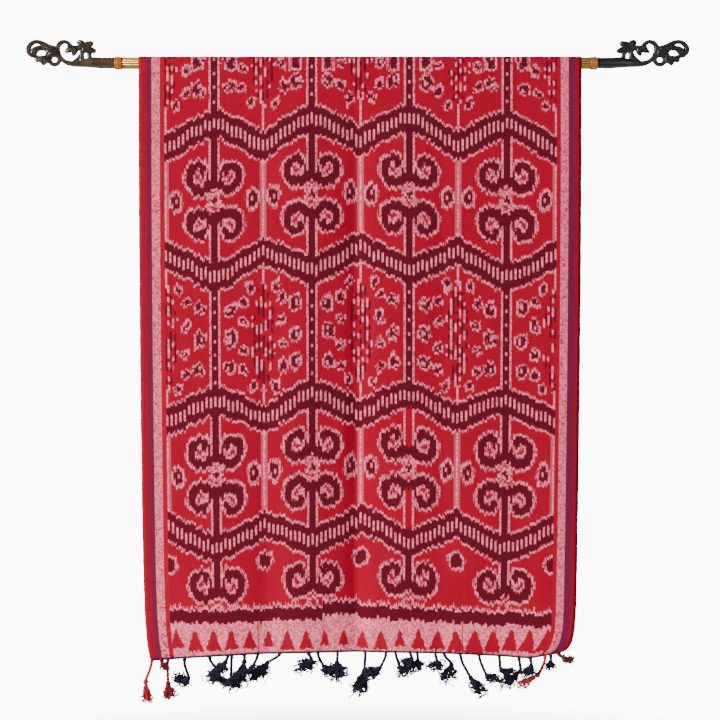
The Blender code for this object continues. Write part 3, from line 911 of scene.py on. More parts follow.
def closed_mesh(name: str, points: Iterable[Vector], faces: list) -> bpy.types.Mesh:
    """A closed mesh from its points and faces.

    Args:
        name: The mesh's name.
        points: Its points.
        faces: Its faces, as point numbers.

    Returns:
        The mesh, with its faces turned outwards.
    """
    rough = mesh_of(f"{name}_rough", points, [], faces)
    shape = bmesh.new()
    shape.from_mesh(rough)
    bpy.data.meshes.remove(rough)
    return mesh_from(shape, name)


def skin_rings(shape: bmesh.types.BMesh, rings: list[list[bmesh.types.BMVert]]) -> None:
    """Lays faces between each closed ring of points and the next.

    Args:
        shape: The shape that takes the faces.
        rings: The rings, with as many points each.
    """
    for near, far in pairwise(rings):
        for number, corner in enumerate(near):
            after = (number + 1) % len(near)
            shape.faces.new((corner, near[after], far[after], far[number]))


def applied(piece: Piece) -> bpy.types.Mesh:
    """Replaces a piece's mesh by its evaluated one, and clears its modifiers.

    Args:
        piece: The piece.

    Returns:
        The plain mesh.
    """
    graph = bpy.context.evaluated_depsgraph_get()
    mesh = bpy.data.meshes.new_from_object(piece.evaluated_get(graph), depsgraph=graph)
    piece.modifiers.clear()
    piece.data = mesh
    return mesh


def turned(name: str, profile: list[Pair], steps: int) -> bpy.types.Mesh:
    """A ring turned about X from a closed outline.

    Args:
        name: The mesh's name.
        profile: Its outline as (place along X, radius), in order.
        steps: The faces round it.

    Returns:
        The mesh, with faces outwards.
    """
    shape = bmesh.new()
    rings = []
    for step in range(steps):
        angle = math.tau * step / steps
        ring = [(x, radius * math.cos(angle), radius * math.sin(angle)) for x, radius in profile]
        rings.append([shape.verts.new(point) for point in ring])
    skin_rings(shape, [*rings, rings[0]])
    return mesh_from(shape, name)


# The cloth


class Fold(NamedTuple):
    """A swell or crease down a layer: where, how wide, how far it stands out, and its shape."""

    place: float
    reach: float
    rise_middle: float
    rise_hem: float
    creased: bool


class Corner(NamedTuple):
    """A lower corner that curls back: how far in and up it comes, and how sharply."""

    pull: float
    lift: float
    sharpness: float


class Patch(NamedTuple):
    """A rectangle of the bake map: its first corner, and its width and height from there."""

    left: float
    bottom: float
    width: float
    height: float

    def place(self, across: float, along: float) -> Pair:
        """The place in it at these shares of its width and height."""
        return self.left + self.width * across, self.bottom + self.height * along


@dataclass
class HangingCloth:
    """One warp ikat panel, folded in half over the rod. Sizes are in metres."""

    width: float = 0.884
    flat_length: float = 2.40
    thickness: float = 0.0011
    drop_at_middle: float = 1.174
    drop_extra_at_sides: float = 0.017
    rod_radius: float = 0.0117
    clearance: float = 0.0003
    solid_thickness: float = 0.0012
    solid_rows_over_rod: int = 8
    settle_share: float = 0.22
    side_narrowing: float = 0.013
    corner_start: float = 0.22
    corner_lift_start: float = 0.36
    left_corner: Corner = Corner(0.010, 0.0, 24)
    right_corner: Corner = Corner(0.028, 0.014, 50)
    columns: int = 130
    rows_down: int = 138
    rows_over_rod: int = 16
    baked_half_length: float = 1.22
    front_patch: Patch = Patch(0.005, 0.005, 0.42, 0.99)
    back_patch: Patch = Patch(0.855, 0.005, -0.42, -0.99)
    inner_patch: Patch = Patch(0.865, 0.5, 0.11, 0.495)
    rim_patch: Patch = Patch(0.984, 0.005, 0.010, 0.99)
    row_crowding: float = 1.15
    # small unevenness: how deep, how many to a metre across and to a drop, and the finer part
    cockle: float = 0.0011
    cockle_steps: Pair = (14.0, 9.0)
    fine_cockle: float = 0.4
    fine_cockle_steps: float = 3.1
    selvage_wobble: float = 0.0008
    selvage_steps: Pair = (40.0, 70.0)
    selvage_start: float = 0.97
    selvage_share: float = 0.03
    folds: dict[Layer, list[Fold]] = field(
        default_factory=lambda: {
            Layer.FRONT: [
                # place, reach, rise at the middle of the drop, rise at the hem, creased
                Fold(-0.008, 0.110, -0.0032, -0.0046, True),
                Fold(-0.300, 0.130, 0.0012, 0.0040, False),
                Fold(-0.125, 0.085, 0.0026, 0.0030, False),
                Fold(-0.185, 0.050, 0.0000, -0.0024, False),
                Fold(0.085, 0.085, 0.0014, 0.0018, False),
                Fold(0.250, 0.110, 0.0004, 0.0016, False),
                Fold(0.390, 0.100, 0.0024, 0.0042, False),
                Fold(-0.442, 0.060, -0.0006, -0.0016, False),
                Fold(-0.008, 0.050, -0.0042, -0.0048, True),
                Fold(0.166, 0.024, -0.0013, -0.0007, True),
                Fold(-0.194, 0.024, -0.0009, -0.0009, True),
            ],
            Layer.BACK: [
                Fold(-0.008, 0.110, 0.0030, 0.0040, True),
                Fold(-0.330, 0.120, 0.0014, 0.0036, False),
                Fold(-0.160, 0.090, 0.0006, 0.0020, False),
                Fold(0.150, 0.120, 0.0018, 0.0030, False),
                Fold(0.340, 0.110, 0.0004, 0.0028, False),
                Fold(-0.008, 0.014, 0.0010, 0.0012, True),
                Fold(0.166, 0.016, 0.0006, 0.0003, True),
            ],
        }
    )

    @property
    def half_width(self) -> float:
        """Half the cloth's width."""
        return self.width / 2

    @property
    def rim_faces(self) -> int:
        """The faces round the sheet's thin edge."""
        return 2 * (self.columns + 2 * self.rows_down + self.rows_over_rod)

    @property
    def arc_radius(self) -> float:
        """The radius of the sheet's middle where it passes over the rod."""
        facet = math.cos(math.pi / self.solid_rows_over_rod / 2)
        return (self.rod_radius + self.clearance) / facet + self.solid_thickness / 2

    @property
    def arc_half_length(self) -> float:
        """The cloth from the fold to the rod's level."""
        return self.arc_radius * math.pi / 2

    def drop(self, across: float) -> float:
        """How far a layer hangs below the rod's axis at this place across."""
        return self.drop_at_middle + self.drop_extra_at_sides * (across / self.half_width) ** 2

    def relief(self, across: float, share: float, layer: Layer) -> float:
        """How far a layer stands out from its plane.

        Args:
            across: The place across the cloth, from its middle.
            share: The share of the drop.
            layer: The layer.

        Returns:
            The distance in metres.
        """
        total = 0.0
        for fold in self.folds[layer]:
            gap = abs(across - fold.place) / fold.reach
            if gap >= 1:
                continue
            profile = (1 - gap) ** 2 if fold.creased else (1 + math.cos(math.pi * gap)) / 2
            total += profile * mix(fold.rise_middle, fold.rise_hem, share**2)
        steps_across, steps_down = self.cockle_steps
        wander = Vector((across * steps_across, share * steps_down, 3.0 * layer.value))
        total += self.cockle * noise.noise(wander)
        total += self.cockle * self.fine_cockle * noise.noise(wander * self.fine_cockle_steps)
        return total * ease(share / self.settle_share)

    def point(self, across: float, share: float, layer: Layer) -> Vector:
        """A point of a hanging layer.

        Args:
            across: The place across the cloth, from its middle.
            share: The share of the drop, from 0 at the rod's level to 1 at the hem.
            layer: The layer.

        Returns:
            The point.
        """
        corner = self.right_corner if across > 0 else self.left_corner
        turn = share**corner.sharpness
        span = self.half_width - self.corner_start
        pulled = ease((abs(across) - self.corner_start) / span) * turn
        span = self.half_width - self.corner_lift_start
        lifted = ease((abs(across) - self.corner_lift_start) / span) * turn
        narrowed = across * (1 - self.side_narrowing / self.half_width * share**2)
        edge = ease((abs(across) / self.half_width - self.selvage_start) / self.selvage_share)
        steps_across, steps_down = self.selvage_steps
        wander = Vector((across * steps_across, share * steps_down, layer.value))
        wobble = self.selvage_wobble * edge * noise.noise(wander)
        x = narrowed - math.copysign(corner.pull, across) * pulled + wobble
        z = -share * self.drop(across) + corner.lift * lifted
        return Vector((x, layer.value * (self.arc_radius + self.relief(across, share, layer)), z))

    def station(self, row: int, across: float) -> tuple[Vector, float]:
        """A point of the sheet on one of its rows, from the front hem to the back hem.

        Args:
            row: The row's number.
            across: The place across the cloth, from its middle.

        Returns:
            The point, and its distance along the sheet from the fold, less than 0 on the back.
        """
        last = 2 * self.rows_down + self.rows_over_rod
        from_hem = min(row, last - row)
        layer = Layer.FRONT if row < last / 2 else Layer.BACK
        if from_hem <= self.rows_down:
            share = 1 - (from_hem / self.rows_down) ** self.row_crowding
            along = self.arc_half_length + share * self.drop(across)
            return self.point(across, share, layer), -layer.value * along
        angle = math.pi * ((row - self.rows_down) / self.rows_over_rod - 0.5)
        place = Vector((across, self.arc_radius * math.sin(angle), self.arc_radius * math.cos(angle)))
        return place, -self.arc_radius * angle

    def build(self, material: bpy.types.Material) -> Piece:
        """The cloth as one closed thin sheet.

        Args:
            material: The cotton's material.

        Returns:
            The piece, with its flat UV map and its bake map.
        """
        rows = 2 * self.rows_down + self.rows_over_rod + 1
        columns = self.columns + 1
        middle, flat = [], []
        for row in range(rows):
            for column in range(columns):
                across = self.width * (column / self.columns - 0.5)
                place, along = self.station(row, across)
                middle.append(place)
                flat.append((across + self.half_width, along))
        quads = []
        for row in range(rows - 1):
            for column in range(self.columns):
                corner = row * columns + column
                quads.append((corner, corner + 1, corner + columns + 1, corner + columns))
        guide = mesh_of("cloth_middle", middle, [], quads)
        outwards = [vertex.normal.copy() for vertex in guide.vertices]
        if outwards[columns // 2].y > 0:
            outwards = [-normal for normal in outwards]
            quads = [quad[::-1] for quad in quads]
        bpy.data.meshes.remove(guide)
        half = self.thickness / 2
        count = len(middle)
        points = [place + normal * half for place, normal in zip(middle, outwards)]
        points += [place - normal * half for place, normal in zip(middle, outwards)]
        faces = list(quads)
        faces += [tuple(number + count for number in quad[::-1]) for quad in quads]
        rim = list(range(columns))
        rim += [row * columns + columns - 1 for row in range(1, rows)]
        rim += [(rows - 1) * columns + column for column in range(columns - 2, -1, -1)]
        rim += [row * columns for row in range(rows - 2, 0, -1)]
        for number, corner in enumerate(rim):
            after = rim[(number + 1) % len(rim)]
            faces.append((corner, after, after + count, corner + count))
        mesh = closed_mesh("ikat_cloth", points, faces)
        self.lay_maps(mesh, flat, count)
        return piece_from("ikat_cloth", mesh, material)

    def lay_maps(self, mesh: bpy.types.Mesh, flat: list[Pair], count: int) -> None:
        """Gives the sheet its flat UV map in metres, and its bake map.

        The bake map has the front half's outer face, the back half's, the inner faces and the rim
        side by side.

        Args:
            mesh: The sheet's mesh.
            flat: Each point's place on the flat cloth.
            count: How many points one face of the sheet has.
        """
        weave = mesh.uv_layers.new(name="weave")
        for loop, place in zip(mesh.loops, weave.uv):
            place.vector = flat[loop.vertex_index % count]
        baked = mesh.uv_layers.new(name="OFBake", do_init=False)
        quads = (len(mesh.polygons) - self.rim_faces) // 2
        for number, face in enumerate(mesh.polygons):
            corners = [flat[vertex % count] for vertex in face.vertices]
            middle = sum(along for _, along in corners) / len(corners)
            for order, loop in enumerate(face.loop_indices):
                across = corners[order][0] / self.width
                along = corners[order][1] / self.baked_half_length
                if number >= 2 * quads:
                    step = (number - 2 * quads + (order in (1, 2))) / self.rim_faces
                    place = self.rim_patch.place(order > 1, step)
                elif number >= quads:
                    place = self.inner_patch.place(across, along)
                elif middle > 0:
                    place = self.front_patch.place(across, along)
                else:
                    place = self.back_patch.place(across, along)
                baked.uv[loop].vector = place


# The fringe


class Tassel(NamedTuple):
    """A warp tassel: where its cord starts and falls to, its tuft, its layer in depth and its yarn."""

    root: float
    drift: float
    fall: float
    lean: float
    tuft: float
    bulk: float
    lane: int
    yarn: Yarn = Yarn.NAVY


TASSELS = [
    Tassel(*row)
    for row in (
        # root, the cord's drift and fall, the tuft's lean, length and radius, lane, yarn
        (-0.4385, -0.012, 0.041, 0.003, 0.041, 0.0030, 0, Yarn.RED),
        (-0.419, 0.003, 0.008, 0.005, 0.009, 0.0030, 1, Yarn.MIXED),
        (-0.405, 0.001, 0.046, 0.004, 0.031, 0.0035, 0, Yarn.MIXED),
        (-0.369, 0.011, 0.040, -0.017, 0.007, 0.0050, 1),
        (-0.314, 0.016, 0.026, -0.007, 0.023, 0.0050, 0),
        (-0.273, -0.003, 0.012, -0.016, 0.017, 0.0040, 1),
        (-0.265, -0.001, 0.048, -0.012, 0.012, 0.0050, 0),
        (-0.238, 0.001, 0.013, -0.012, 0.049, 0.0050, 0),
        (-0.210, -0.011, 0.026, -0.034, 0.021, 0.0035, 2),
        (-0.163, -0.025, 0.018, -0.021, 0.029, 0.0060, 0),
        (-0.107, 0.008, 0.012, -0.018, 0.021, 0.0055, 1),
        (-0.087, 0.012, 0.028, 0.017, 0.015, 0.0050, 0),
        (-0.046, -0.001, 0.019, 0.001, 0.029, 0.0060, 1),
        (0.011, -0.002, 0.037, -0.008, 0.043, 0.0050, 0),
        (0.054, -0.012, 0.030, -0.021, 0.017, 0.0050, 1),
        (0.073, 0.009, 0.029, 0.007, 0.014, 0.0040, 0),
        (0.103, 0.005, 0.013, -0.013, 0.010, 0.0040, 1),
        (0.118, 0.001, 0.015, -0.008, 0.021, 0.0045, 0),
        (0.155, 0.003, 0.016, -0.002, 0.014, 0.0045, 1),
        (0.172, 0.016, 0.020, -0.007, 0.032, 0.0045, 0),
        (0.206, 0.019, 0.045, 0.020, 0.031, 0.0045, 1),
        (0.246, 0.014, 0.041, 0.018, 0.011, 0.0040, 0),
        (0.294, 0.001, 0.026, 0.022, 0.009, 0.0040, 1),
        (0.344, 0.003, 0.027, -0.032, 0.030, 0.0040, 0),
        (0.372, 0.001, 0.013, -0.008, 0.021, 0.0040, 2),
        (0.408, -0.014, 0.038, -0.037, 0.024, 0.0030, 1, Yarn.RED),
        (0.420, 0.000, 0.015, -0.001, 0.013, 0.0030, 0),
        (0.435, 0.010, 0.008, 0.014, 0.007, 0.0030, 1, Yarn.BROWN),
    )
]


class GeometryTree:
    """A Geometry Nodes tree that is being made, with named inputs."""

    def __init__(self, name: str) -> None:
        """Starts a tree with a geometry input and output, and makes curves of the geometry.

        Args:
            name: The tree's name.
        """
        self.tree: Tree = bpy.data.node_groups.new(name, "GeometryNodeTree")
        for way in ("INPUT", "OUTPUT"):
            self.tree.interface.new_socket("Geometry", in_out=way, socket_type="NodeSocketGeometry")
        self.entry = self.tree.nodes.new("NodeGroupInput")
        self.exit = self.tree.nodes.new("NodeGroupOutput")
        geometry = Signal(self.tree, self.entry.outputs[0])
        self.lines = self.node("GeometryNodeMeshToCurve", {0: geometry})

    def takes(self, *names: str, kind: str = "Float") -> list[Signal]:
        """Adds inputs of one kind, and gives each as a signal inside the tree."""
        for name in names:
            self.tree.interface.new_socket(name, in_out="INPUT", socket_type=f"NodeSocket{kind}")
        return [Signal(self.tree, self.entry.outputs[name]) for name in names]

    def node(
        self, kind: str, values: dict | None = None, output: str | int = 0, **settings: object
    ) -> Signal:
        """Adds a node as add_node does."""
        return add_node(self.tree, kind, values, output, **settings)

    def stored(self, name: str) -> Signal:
        """A number stored on the geometry."""
        kind = "GeometryNodeInputNamedAttribute"
        return self.node(kind, {"Name": name}, "Attribute", data_type="FLOAT")

    def copied(self, curves: Signal, count: Signal, name: str) -> tuple[Signal, Signal]:
        """Copies each curve, and stores each copy's number on it.

        Args:
            curves: The curves.
            count: How many copies of each.
            name: The name that the number is stored by.

        Returns:
            The copies, and their number.
        """
        amount = {0: curves, "Amount": count}
        copies = self.node("GeometryNodeDuplicateElements", amount, domain="SPLINE")
        values = {0: copies, "Name": name, "Value": copies.other("Duplicate Index")}
        kept = self.node("GeometryNodeStoreNamedAttribute", values, data_type="FLOAT", domain="CURVE")
        return kept, self.stored(name)

    def tubes(self, curves: Signal, offset: Signal, radius: Signal, sides: int) -> "GeometryTree":
        """Moves curves, makes them tubes, and ends the tree in Realize Instances and Set Material.

        Args:
            curves: The curves.
            offset: How far each point moves.
            radius: The tubes' radius.
            sides: The faces round a tube.

        Returns:
            The tree.
        """
        moved = self.node("GeometryNodeSetPosition", {0: curves, "Offset": offset})
        circle = self.node("GeometryNodeCurvePrimitiveCircle", {"Resolution": sides, "Radius": 1.0})
        values = {0: moved, 1: circle, "Fill Caps": True, "Scale": radius}
        tubes = self.node("GeometryNodeCurveToMesh", values)
        smooth = self.node("GeometryNodeSetShadeSmooth", {0: tubes})
        real = self.node("GeometryNodeRealizeInstances", {0: smooth})
        (material,) = self.takes("Material", kind="Material")
        dressed = self.node("GeometryNodeSetMaterial", {0: real, "Material": material})
        connect(self.tree, dressed, self.exit.inputs[0])
        return self

    def run(self, piece: Piece, **values: object) -> None:
        """Runs the tree on a piece and keeps the plain mesh.

        Args:
            piece: The piece.
            values: A value for each named input, with _ for a space.
        """
        modifier = piece.modifiers.new(self.tree.name, "NODES")
        modifier.node_group = self.tree
        inputs = [item for item in self.tree.interface.items_tree if item.in_out == "INPUT"]
        sockets = {item.name: item.identifier for item in inputs}
        for name, value in values.items():
            modifier[sockets[name.replace("_", " ")]] = value
        applied(piece)


def cord_tree() -> GeometryTree:
    """Twisted cord along each guide line: its plies wind round it at an even pitch.

    Returns:
        The tree. Its guide stores yarn and stout, a share of the ply's radius, on its points.
    """
    made = GeometryTree("twisted cord")
    (plies,) = made.takes("Plies", kind="Int")
    ply_radius, pitch, step = made.takes("Ply radius", "Pitch", "Step")
    even = made.node("GeometryNodeResampleCurve", {0: made.lines, "Length": step}, mode="LENGTH")
    copies, ply = made.copied(even, plies, "ply")
    length = made.node("GeometryNodeSplineParameter", output="Length")
    angle = (length / pitch + ply / plies) * math.tau
    normal = made.node("GeometryNodeInputNormal")
    side = made.node("GeometryNodeInputTangent").vector("CROSS_PRODUCT", normal)
    radius = ply_radius * made.stored("stout")
    out = normal.vector("SCALE", angle.math("COSINE") * radius)
    over = side.vector("SCALE", angle.math("SINE") * radius)
    return made.tubes(copies, out.vector("ADD", over), radius, sides=6)


def tuft_tree() -> GeometryTree:
    """Frayed strands that spread and curl from each guide line.

    Returns:
        The tree. Its guide stores yarn, bulk, the tuft's radius, and number on its points.
    """
    made = GeometryTree("frayed tuft")
    strands, seed = made.takes("Strands", "Seed", kind="Int")
    strand_radius, spread_share, curl, coil = made.takes("Strand radius", "Spread", "Curl", "Coil")
    copies, strand = made.copied(made.lines, strands, "strand")
    bulk = made.stored("bulk")
    bulk_share = bulk * 200.0
    number = made.stored("number") * 97.0 + strand
    limits = {0: (-1.0, -0.25, -0.3), 1: (1.0, 0.25, 0.75), "ID": number, "Seed": seed}
    spread = made.node("FunctionNodeRandomValue", limits, data_type="FLOAT_VECTOR")
    share = made.node("GeometryNodeSplineParameter", output="Factor")
    opened = share.math("POWER", 0.7)
    fan = spread.vector("SCALE", bulk * spread_share * opened)
    position = made.node("GeometryNodeInputPosition")
    shifted = position.vector("SCALE", 230.0).vector("ADD", spread.vector("SCALE", 9.0))
    wander = made.node("ShaderNodeTexNoise", {"Vector": shifted, "Scale": 1.0, "Detail": 1.0}, "Color")
    flatter = wander.vector("SUBTRACT", (0.5, 0.5, 0.5)).vector("MULTIPLY", (1.0, 0.25, 0.8))
    bend = flatter.vector("SCALE", curl * share * bulk_share)
    angle = share * 11.0 + number * 2.4
    turn = bulk * coil * opened
    coiled = joined(made.tree, angle.math("COSINE") * turn, 0.0, angle.math("SINE") * turn)
    radius = strand_radius * (share * -0.4 + 1.1) * ((bulk_share + 0.4) * 0.7)
    return made.tubes(copies, fan.vector("ADD", bend).vector("ADD", coiled), radius, sides=5)


@dataclass
class Fringe:
    """The twined edging under a layer's hem, and the knotted warp tassels that hang from it."""

    cloth: HangingCloth
    layer: Layer
    plies: int = 2
    edging_drop: float = 0.0012
    edging_inset: float = 0.001
    edging_step: float = 0.004
    edging_ply: float = 0.00120
    edging_pitch: float = 0.0072
    cord_ply: float = 0.00175
    cord_pitch: float = 0.0080
    sample: float = 0.0011
    # where a cord bends, as shares of its drift, its lane's depth and its fall
    cord_bends: tuple[tuple[float, float, float], ...] = ((0.1, 0.5, 0.25), (0.35, 0.8, 0.5))
    cord_steps: int = 8
    knot_turns: float = 2.2
    knot_radius: float = 0.0028
    knot_length: float = 0.0050
    knot_steps: int = 10
    tuft_start: float = 0.8
    lane_step: float = 0.0065
    strands: int = 15
    strand_radius: float = 0.0019
    spread: float = 3.0
    curl: float = 0.070
    coil: float = 0.35
    strand_points: int = 14
    seed: int = 5
    # how far in front of the rod the camera stands and its height, and how soon a cord hides
    eye: Pair = (4.2, -0.594)
    hiding_drop: float = 0.012

    def hem(self, across: float) -> Vector:
        """A point of the twined edging's middle."""
        return self.cloth.point(across, 1.0, self.layer) - Vector((0, 0, self.edging_drop))

    def path(self, tassel: Tassel) -> tuple[list[Vector], list[Vector]]:
        """The line of a tassel's cord down through its knot, and the line of its tuft.

        Args:
            tassel: The tassel.

        Returns:
            The cord's points and the tuft's points.
        """
        root = self.hem(tassel.root)
        fore = self.layer.value * self.lane_step * tassel.lane
        end = root + Vector((tassel.drift + tassel.lean, fore, -tassel.fall - tassel.tuft))
        knot = root + Vector((tassel.drift, fore, -tassel.fall))
        bends = [
            root + Vector((tassel.drift * across, fore * out, -tassel.fall * down))
            for across, out, down in self.cord_bends
        ]
        cord = smooth_line([root, *bends, knot], self.cord_steps)
        way = (end - knot).normalized()
        side = way.cross(Vector((0, 1, 0))).normalized()
        depth = way.cross(side)
        steps = int(self.knot_turns * self.knot_steps)
        for step in range(1, steps + 1):
            angle = math.tau * self.knot_turns * step / steps
            swell = self.knot_radius * math.sin(math.pi * step / steps) ** 0.5
            round_it = side * math.cos(angle) + depth * math.sin(angle)
            cord.append(knot + way * self.knot_length * step / steps + round_it * swell)
        start = knot + way * self.knot_length * self.tuft_start
        last = self.strand_points - 1
        tuft = [start.lerp(end, number / last) for number in range(self.strand_points)]
        if self.layer is Layer.BACK:
            cord, tuft = [[self.hidden(point, root) for point in line] for line in (cord, tuft)]
        return cord, tuft

    def hidden(self, point: Vector, root: Vector) -> Vector:
        """Moves a point of a back tassel behind the front one, as seen from the camera.

        Args:
            point: The point.
            root: Where its cord starts.

        Returns:
            The point's new place.
        """
        away, height = self.eye
        scale = (away + point.y) / (away - point.y)
        seen = Vector((point.x * scale, point.y, height + (point.z - height) * scale))
        return point.lerp(seen, ease((root.z - point.z) / self.hiding_drop))

    def build(self, material: bpy.types.Material) -> Piece:
        """The whole fringe of this layer as one piece.

        Args:
            material: The yarn's material.

        Returns:
            The piece, with its yarn value on its points.
        """
        name = f"{self.layer.name.lower()}_fringe"
        half = self.cloth.half_width - self.edging_inset
        count = round(2 * half / self.edging_step)
        edging = [self.hem(mix(-half, half, number / count)) for number in range(count + 1)]
        cords, tufts = [], []
        for number, tassel in enumerate(TASSELS):
            cord, tuft = self.path(tassel)
            cords.append((cord, {"yarn": tassel.yarn.value, "stout": 1.0}))
            marks = {"yarn": tassel.yarn.value, "bulk": tassel.bulk, "number": float(number)}
            tufts.append((tuft, marks))
        edge_piece = guide_piece("edging", [(edging, {"yarn": 0.0, "stout": 1.0})])
        cord_piece, tuft_piece = guide_piece("cords", cords), guide_piece("tufts", tufts)
        twist = cord_tree()
        shared = {"Plies": self.plies, "Step": self.sample, "Material": material}
        twist.run(edge_piece, Ply_radius=self.edging_ply, Pitch=self.edging_pitch, **shared)
        twist.run(cord_piece, Ply_radius=self.cord_ply, Pitch=self.cord_pitch, **shared)
        tuft_tree().run(
            tuft_piece, Strands=self.strands, Strand_radius=self.strand_radius, Spread=self.spread,
            Curl=self.curl, Coil=self.coil, Seed=self.seed, Material=material,
        )
        self.dye(edge_piece, second_ply=Yarn.RED)
        self.dye(cord_piece, second_ply=None)
        return joined_piece(name, [edge_piece, cord_piece, tuft_piece], material)

    def dye(self, piece: Piece, second_ply: Yarn | None) -> None:
        """Settles each ply's yarn: a mixed cord has a red ply and a navy one.

        Args:
            piece: The twisted cords.
            second_ply: The yarn that shows here and there in every second ply, or None.
        """
        yarn = piece.data.attributes["yarn"].data
        ply = piece.data.attributes["ply"].data
        for vertex, value, number in zip(piece.data.vertices, yarn, ply):
            second = number.value > 0.5
            if second_ply is not None:
                shows = noise.noise(Vector((vertex.co.x * 70, 0, 0))) > 0.12
                value.value = second_ply.value if second and shows else value.value
            elif value.value == Yarn.MIXED.value:
                value.value = Yarn.RED.value if second else Yarn.NAVY.value


def smooth_line(knots: list[Vector], steps: int) -> list[Vector]:
    """Points on a smooth curve through some points.

    Args:
        knots: The points, of any size.
        steps: The points made for each stretch between two of them.

    Returns:
        The curve's points.
    """
    spread = [2 * knots[0] - knots[1], *knots, 2 * knots[-1] - knots[-2]]
    points = []
    for before, start, end, after in zip(spread, spread[1:], spread[2:], spread[3:]):
        for step in range(steps):
            t = step / steps
            bend = 2 * start + (end - before) * t
            bend += (2 * before - 5 * start + 4 * end - after) * t**2
            bend += (3 * start - before - 3 * end + after) * t**3
            points.append(bend / 2)
    return [*points, knots[-1]]


def guide_piece(name: str, lines: list[tuple[list[Vector], dict[str, float]]]) -> Piece:
    """A mesh of open lines for a tree to follow.

    Args:
        name: The piece's name.
        lines: Each line's points, and the numbers stored on them.

    Returns:
        The piece.
    """
    points, edges = [], []
    values: dict[str, list[float]] = {key: [] for key in lines[0][1]}
    for line, marks in lines:
        first = len(points)
        points.extend(line)
        edges.extend((first + number, first + number + 1) for number in range(len(line) - 1))
        for key, value in marks.items():
            values[key].extend([value] * len(line))
    mesh = mesh_of(name, points, edges, [])
    for key, numbers in values.items():
        mesh.attributes.new(key, "FLOAT", "POINT").data.foreach_set("value", numbers)
    return piece_from(name, mesh)


def joined_piece(name: str, parts: list[Piece], material: bpy.types.Material) -> Piece:
    """Joins parts into one piece and removes them.

    Args:
        name: The piece's name.
        parts: The parts, all at the origin.
        material: The piece's material.

    Returns:
        The piece, with the yarn value kept.
    """
    points, faces, yarn = [], [], []
    for part in parts:
        first = len(points)
        mesh = part.data
        points.extend(vertex.co.copy() for vertex in mesh.vertices)
        faces.extend(tuple(first + number for number in face.vertices) for face in mesh.polygons)
        yarn.extend(value.value for value in mesh.attributes["yarn"].data)
        bpy.data.objects.remove(part)
    mesh = mesh_of(name, points, [], faces)
    mesh.attributes.new("yarn", "FLOAT", "POINT").data.foreach_set("value", yarn)
    return piece_from(name, mesh, material)


# The rod, its collars and finials


@dataclass
class ReededRod:
    """The rod, with rounded reeds side by side along it."""

    left_end: float = -0.4902
    right_end: float = 0.4746
    radius: float = 0.0117
    reeds: int = 12
    reed_depth: float = 0.0017
    points_on_reed: int = 12
    edge: float = 0.0004

    def build(self, material: bpy.types.Material) -> Piece:
        """The rod with softened ends.

        Args:
            material: The rod's material.

        Returns:
            The piece.
        """
        around = self.reeds * self.points_on_reed
        stations = [
            (self.left_end, self.edge),
            (self.left_end + self.edge, 0.0),
            (self.right_end - self.edge, 0.0),
            (self.right_end, self.edge),
        ]
        shape = bmesh.new()
        rings = []
        for x, inset in stations:
            ring = []
            for number in range(around):
                turn = number / self.points_on_reed
                crown = abs(math.cos(math.pi * turn))
                radius = self.radius - inset - self.reed_depth * (1 - crown**0.5)
                angle = math.tau * number / around
                ring.append(shape.verts.new((x, radius * math.cos(angle), radius * math.sin(angle))))
            rings.append(ring)
        skin_rings(shape, rings)
        shape.faces.new(rings[0][::-1])
        shape.faces.new(rings[-1])
        return piece_from("reeded_rod", mesh_from(shape, "reeded_rod"), material)


@dataclass
class Collar:
    """A turned collar of rounded beads over the rod's end."""

    name: str
    middle: float
    length: float = 0.0140
    radius: float = 0.0132
    bore: float = 0.0121
    bead: float = 0.0009
    rim: float = 0.0002
    profile_steps: int = 24
    steps: int = 64

    def build(self, material: bpy.types.Material) -> Piece:
        """The collar as a closed ring.

        Args:
            material: The collar's material.

        Returns:
            The piece.
        """
        half = self.length / 2
        outer = []
        for step in range(self.profile_steps + 1):
            share = step / self.profile_steps
            place = self.middle - half + self.length * share
            round_over = (1 - (2 * share - 1) ** 6) ** 0.5 if 0 < share < 1 else 0.0
            wave = abs(math.cos(math.pi * share * 2)) ** 2
            top = self.radius - self.bead * (1 - wave) * 0.55
            outer.append((place, mix(self.bore + self.rim, top, round_over)))
        profile = [*outer, (self.middle + half, self.bore), (self.middle - half, self.bore)]
        return piece_from(self.name, turned(self.name, profile, self.steps), material)


